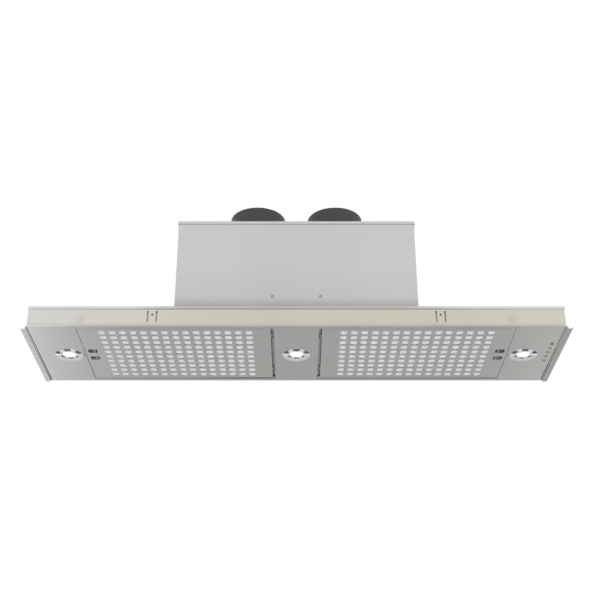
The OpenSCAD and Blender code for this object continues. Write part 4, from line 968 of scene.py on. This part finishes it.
class HOOD_OT_finish_blowers(bpy.types.Operator):
    """Galvanised scrolls, moulded wheels, cast motors and what holds them"""

    bl_idname = "hood.finish_blowers"
    bl_label = "Finish Blowers"

    def execute(self, context):
        steel, lamp = context.scene.hood_steel, context.scene.hood_lamp
        zinc = galvanised_sheet(steel)
        black = moulded_plastic("moulded_black_polypropylene", lamp.black, 0.45, 0.8, 0.02)
        cast = cast_aluminium(steel)
        shaft = plated_steel("clear_zinc_plated_shaft", steel.plating)
        dress(zinc, "motor_brackets", "capacitor_clips")
        for side in SIDES:
            dress(zinc, f"scroll_{side}", f"scroll_cover_{side}")
            dress(black, f"impeller_{side}")
            dress(cast, f"motor_{side}")
            dress(shaft, f"motor_shaft_{side}")
        dress(moulded_plastic("moulded_white_polypropylene", lamp.white, 0.4, 0.6, 0.01), "capacitors")
        return {"FINISHED"}


class HOOD_OT_finish_electrics(bpy.types.Operator):
    """Control box with its lid and board, and the cable gland"""

    bl_idname = "hood.finish_electrics"
    bl_label = "Finish Electrics"

    def execute(self, context):
        lamp = context.scene.hood_lamp
        black = moulded_plastic("moulded_black_polycarbonate", lamp.black, 0.38, 0.6, 0.02)
        dress(black, "control_box", "control_box_lid", "cable_gland")
        dress(circuit_board(lamp), "control_board")
        return {"FINISHED"}


class HOOD_OT_finish_collars(bpy.types.Operator):
    """Moulded duct collars with their flaps and pins"""

    bl_idname = "hood.finish_collars"
    bl_label = "Finish Duct Collars"

    def execute(self, context):
        lamp = context.scene.hood_lamp
        black = moulded_plastic("moulded_black_polypropylene_collar", lamp.black, 0.5, 0.9, 0.03)
        dress(black, "collar_left", "collar_right")
        dress(black, *(f"damper_flap_{i}" for i in (1, 2, 3, 4)), "damper_pins")
        return {"FINISHED"}


class HOOD_OT_build_screws(bpy.types.Operator):
    """Pan-head screws with a cross recess, in place of the plain ones"""

    bl_idname = "hood.build_screws"
    bl_label = "Build Screws"

    def execute(self, context):
        steel = context.scene.hood_steel
        head_r, head_h, shank_r, shank_l = 3.4 * MM, 1.6 * MM, 1.85 * MM, 4.0 * MM
        arm, reach, depth = 0.55 * MM, 1.9 * MM, 0.9 * MM
        # Shares: the part of the head that isn't sunk, and what the recess loses towards its ends
        kept, taper = 0.5, 0.35

        def recess(point):
            """Sinks the head's top where the driver's cross goes in."""
            if point.z > -head_h * kept:
                return point
            across = min(abs(point.x), abs(point.y))
            if across < arm and point.to_2d().length < reach:
                point.z += depth * (1 - taper * point.to_2d().length / reach)
            return point

        flats = 6
        profile = [(reach * i / flats, -head_h) for i in range(flats + 1)]
        # The head's rounded shoulder, in shares of its radius and height
        profile += [(head_r * r, -head_h * h) for r, h in ((0.76, 0.97), (0.92, 0.72), (1, 0.35))]
        profile += [(head_r, 0), (shank_r, 0), (shank_r, shank_l), (0, shank_l)]
        shape = lathe(profile, 32, recess)
        lip_drop = 4.8 * MM
        front_x, front_y, front_z = 52 * MM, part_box("motor_housing")[0].y, 89 * MM
        collar_x, collar_y, circle_r = 87.8 * MM, -38 * MM, 67 * MM
        collar_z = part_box("housing_top")[1].z + SHEET
        flange_x, flange_y, flange_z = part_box("canopy_top")[1].x, 120 * MM, 26 * MM
        lid_x, lid_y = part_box("housing_top")[1].x, 90 * MM
        lid_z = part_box("housing_top")[1].z - lip_drop
        foot_x, foot_y, foot_z = 252.8 * MM, 103.8 * MM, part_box("canopy_top")[1].z + SHEET
        down = Matrix.Rotation(math.pi, 4, "X")
        into_front = Matrix.Rotation(-math.pi / 2, 4, "X")
        # The two front ones come first: they have a plating of their own
        spots = [((sign * front_x, front_y, front_z), into_front) for sign in SIDES.values()]
        for sign in SIDES.values():
            outward = Matrix.Rotation(-sign * math.pi / 2, 4, "Y")
            for angle in (45, 135, 225, 315):
                a = math.radians(angle)
                x, y = sign * collar_x + circle_r * math.cos(a), collar_y + circle_r * math.sin(a)
                spots.append(((x, y, collar_z), down))
            for s in (-1, 1):
                spots.append(((sign * flange_x, s * flange_y, flange_z), outward))
                spots.append(((sign * lid_x, s * lid_y, lid_z), outward))
                spots.append(((sign * foot_x, s * foot_y, foot_z), down))
        shapes = [(Matrix.Translation(spot) @ turn, *shape) for spot, turn in spots]
        bright = plated_steel("clear_zinc_plated_screws", steel.plating)
        screws = new_piece("pan_head_screws", *placed(shapes), bright, "hood", smooth=False)
        screws.data.materials.append(plated_steel("grey_zinc_plated_screws", steel.grey_plating))
        for face in screws.data.polygons[: len(SIDES) * len(shape[1])]:
            face.material_index = 1
        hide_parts("screws")
        return {"FINISHED"}


class HOOD_OT_set_stage(bpy.types.Operator):
    """Camera, floor, lights and the white surroundings"""

    bl_idname = "hood.set_stage"
    bl_label = "Set Stage"

    def execute(self, context):
        scene, stage = context.scene, context.scene.hood_stage
        view = bpy.data.cameras.new("camera")
        view.lens = stage.lens_length
        view.shift_x = CAMERA_SHIFT
        camera = new_object("camera", view)
        camera.location = CAMERA_SPOT
        camera.rotation_euler = (math.radians(CAMERA_TILT), 0.0, 0.0)
        scene.camera = camera
        scene.view_settings.view_transform = "Standard"

        count = 96
        points = [Vector((0, 0, -stage.floor_drop))]
        for i in range(count):
            out = Vector((stage.floor_size, 0, 0))
            out.rotate(Matrix.Rotation(math.tau * i / count, 3, "Z"))
            points.append(points[0] + out)
        faces = [(0, 1 + i, 1 + (i + 1) % count) for i in range(count)]
        mesh = bpy.data.meshes.new("floor")
        mesh.from_pydata(points, [], faces)
        material, tree, place = new_material("matt_painted_floor")
        grain = noise(tree, place, 30 * MM)
        tint = varied(tree, stage.floor, grain, 0.01)
        mesh.materials.append(shaded(material, base_color=tint, roughness=0.9))
        floor = new_object("floor", mesh)

        for name, spot, aim, size, power in (
            ("front_light", (0.0, -1.6, -1.35), (0.0, 0.0, 0.0), 2.6, stage.front_light),
            ("side_light", (-2.1, 2.1, -1.25), (-0.5, 0.0, 0.0), 1.2, stage.side_light),
        ):
            lamp = bpy.data.lights.new(name, "AREA")
            lamp.shape, lamp.size, lamp.energy = "DISK", size, power
            light = new_object(name, lamp)
            light.location = spot
            light.rotation_euler = (Vector(aim) - Vector(spot)).to_track_quat("-Z", "Y").to_euler()

        world = bpy.data.worlds.new("white_room")
        world.use_nodes = True
        scene.world = world
        sky = world.node_tree
        sky.nodes.clear()
        path = add_node(sky, "LightPath").outputs
        either = {"operation": "MAXIMUM"}
        seen = add_node(sky, "Math", either, n0=path["Is Camera Ray"], n1=path["Is Glossy Ray"])
        seen = add_node(sky, "Math", either, n0=seen, n1=path["Is Transmission Ray"])
        strength = add_node(sky, "MapRange", n0=seen, n3=stage.daylight, n4=1.0)
        white = add_node(sky, "Background", color=colour("#FFFFFF"), strength=strength)
        add_node(sky, "OutputWorld", surface=white)
        return {"FINISHED"}


STEPS = (
    HOOD_OT_set_stage,
    HOOD_OT_finish_canopy,
    HOOD_OT_build_seals,
    HOOD_OT_finish_housing,
    HOOD_OT_build_filters,
    HOOD_OT_build_latches,
    HOOD_OT_build_lamps,
    HOOD_OT_finish_buttons,
    HOOD_OT_finish_blowers,
    HOOD_OT_finish_electrics,
    HOOD_OT_finish_collars,
    HOOD_OT_build_screws,
)
GROUPS = {
    "hood_steel": HOOD_PG_steel,
    "hood_mesh": HOOD_PG_mesh,
    "hood_lamp": HOOD_PG_lamp,
    "hood_stage": HOOD_PG_stage,
}


class HOOD_PT_panel(bpy.types.Panel):
    """Sizes, colours and steps of the range hood"""

    bl_label = "Range Hood"
    bl_idname = "HOOD_PT_panel"
    bl_space_type = "VIEW_3D"
    bl_region_type = "UI"
    bl_category = "Range Hood"

    def draw(self, context):
        layout = self.layout
        layout.use_property_split = True
        for name, group in GROUPS.items():
            box = layout.box()
            box.label(text=group.__doc__)
            for key in group.__annotations__:
                box.prop(getattr(context.scene, name), key)
        for step in STEPS:
            layout.operator(step.bl_idname)


CLASSES = (*GROUPS.values(), *STEPS, HOOD_PT_panel)


def register():
    """Registers the classes and hangs their settings on the scene."""
    for cls in CLASSES:
        bpy.utils.register_class(cls)
    for name, group in GROUPS.items():
        setattr(bpy.types.Scene, name, PointerProperty(type=group))


def unregister():
    """Takes the settings and the classes away again."""
    for name in reversed(GROUPS):
        delattr(bpy.types.Scene, name)
    for cls in reversed(CLASSES):
        bpy.utils.unregister_class(cls)


def main():
    """Registers the add-on and runs its operators in order."""
    register()
    for step in STEPS:
        group, name = step.bl_idname.split(".")
        getattr(getattr(bpy.ops, group), name)()
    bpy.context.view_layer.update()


if __name__ == "__main__":
    main()
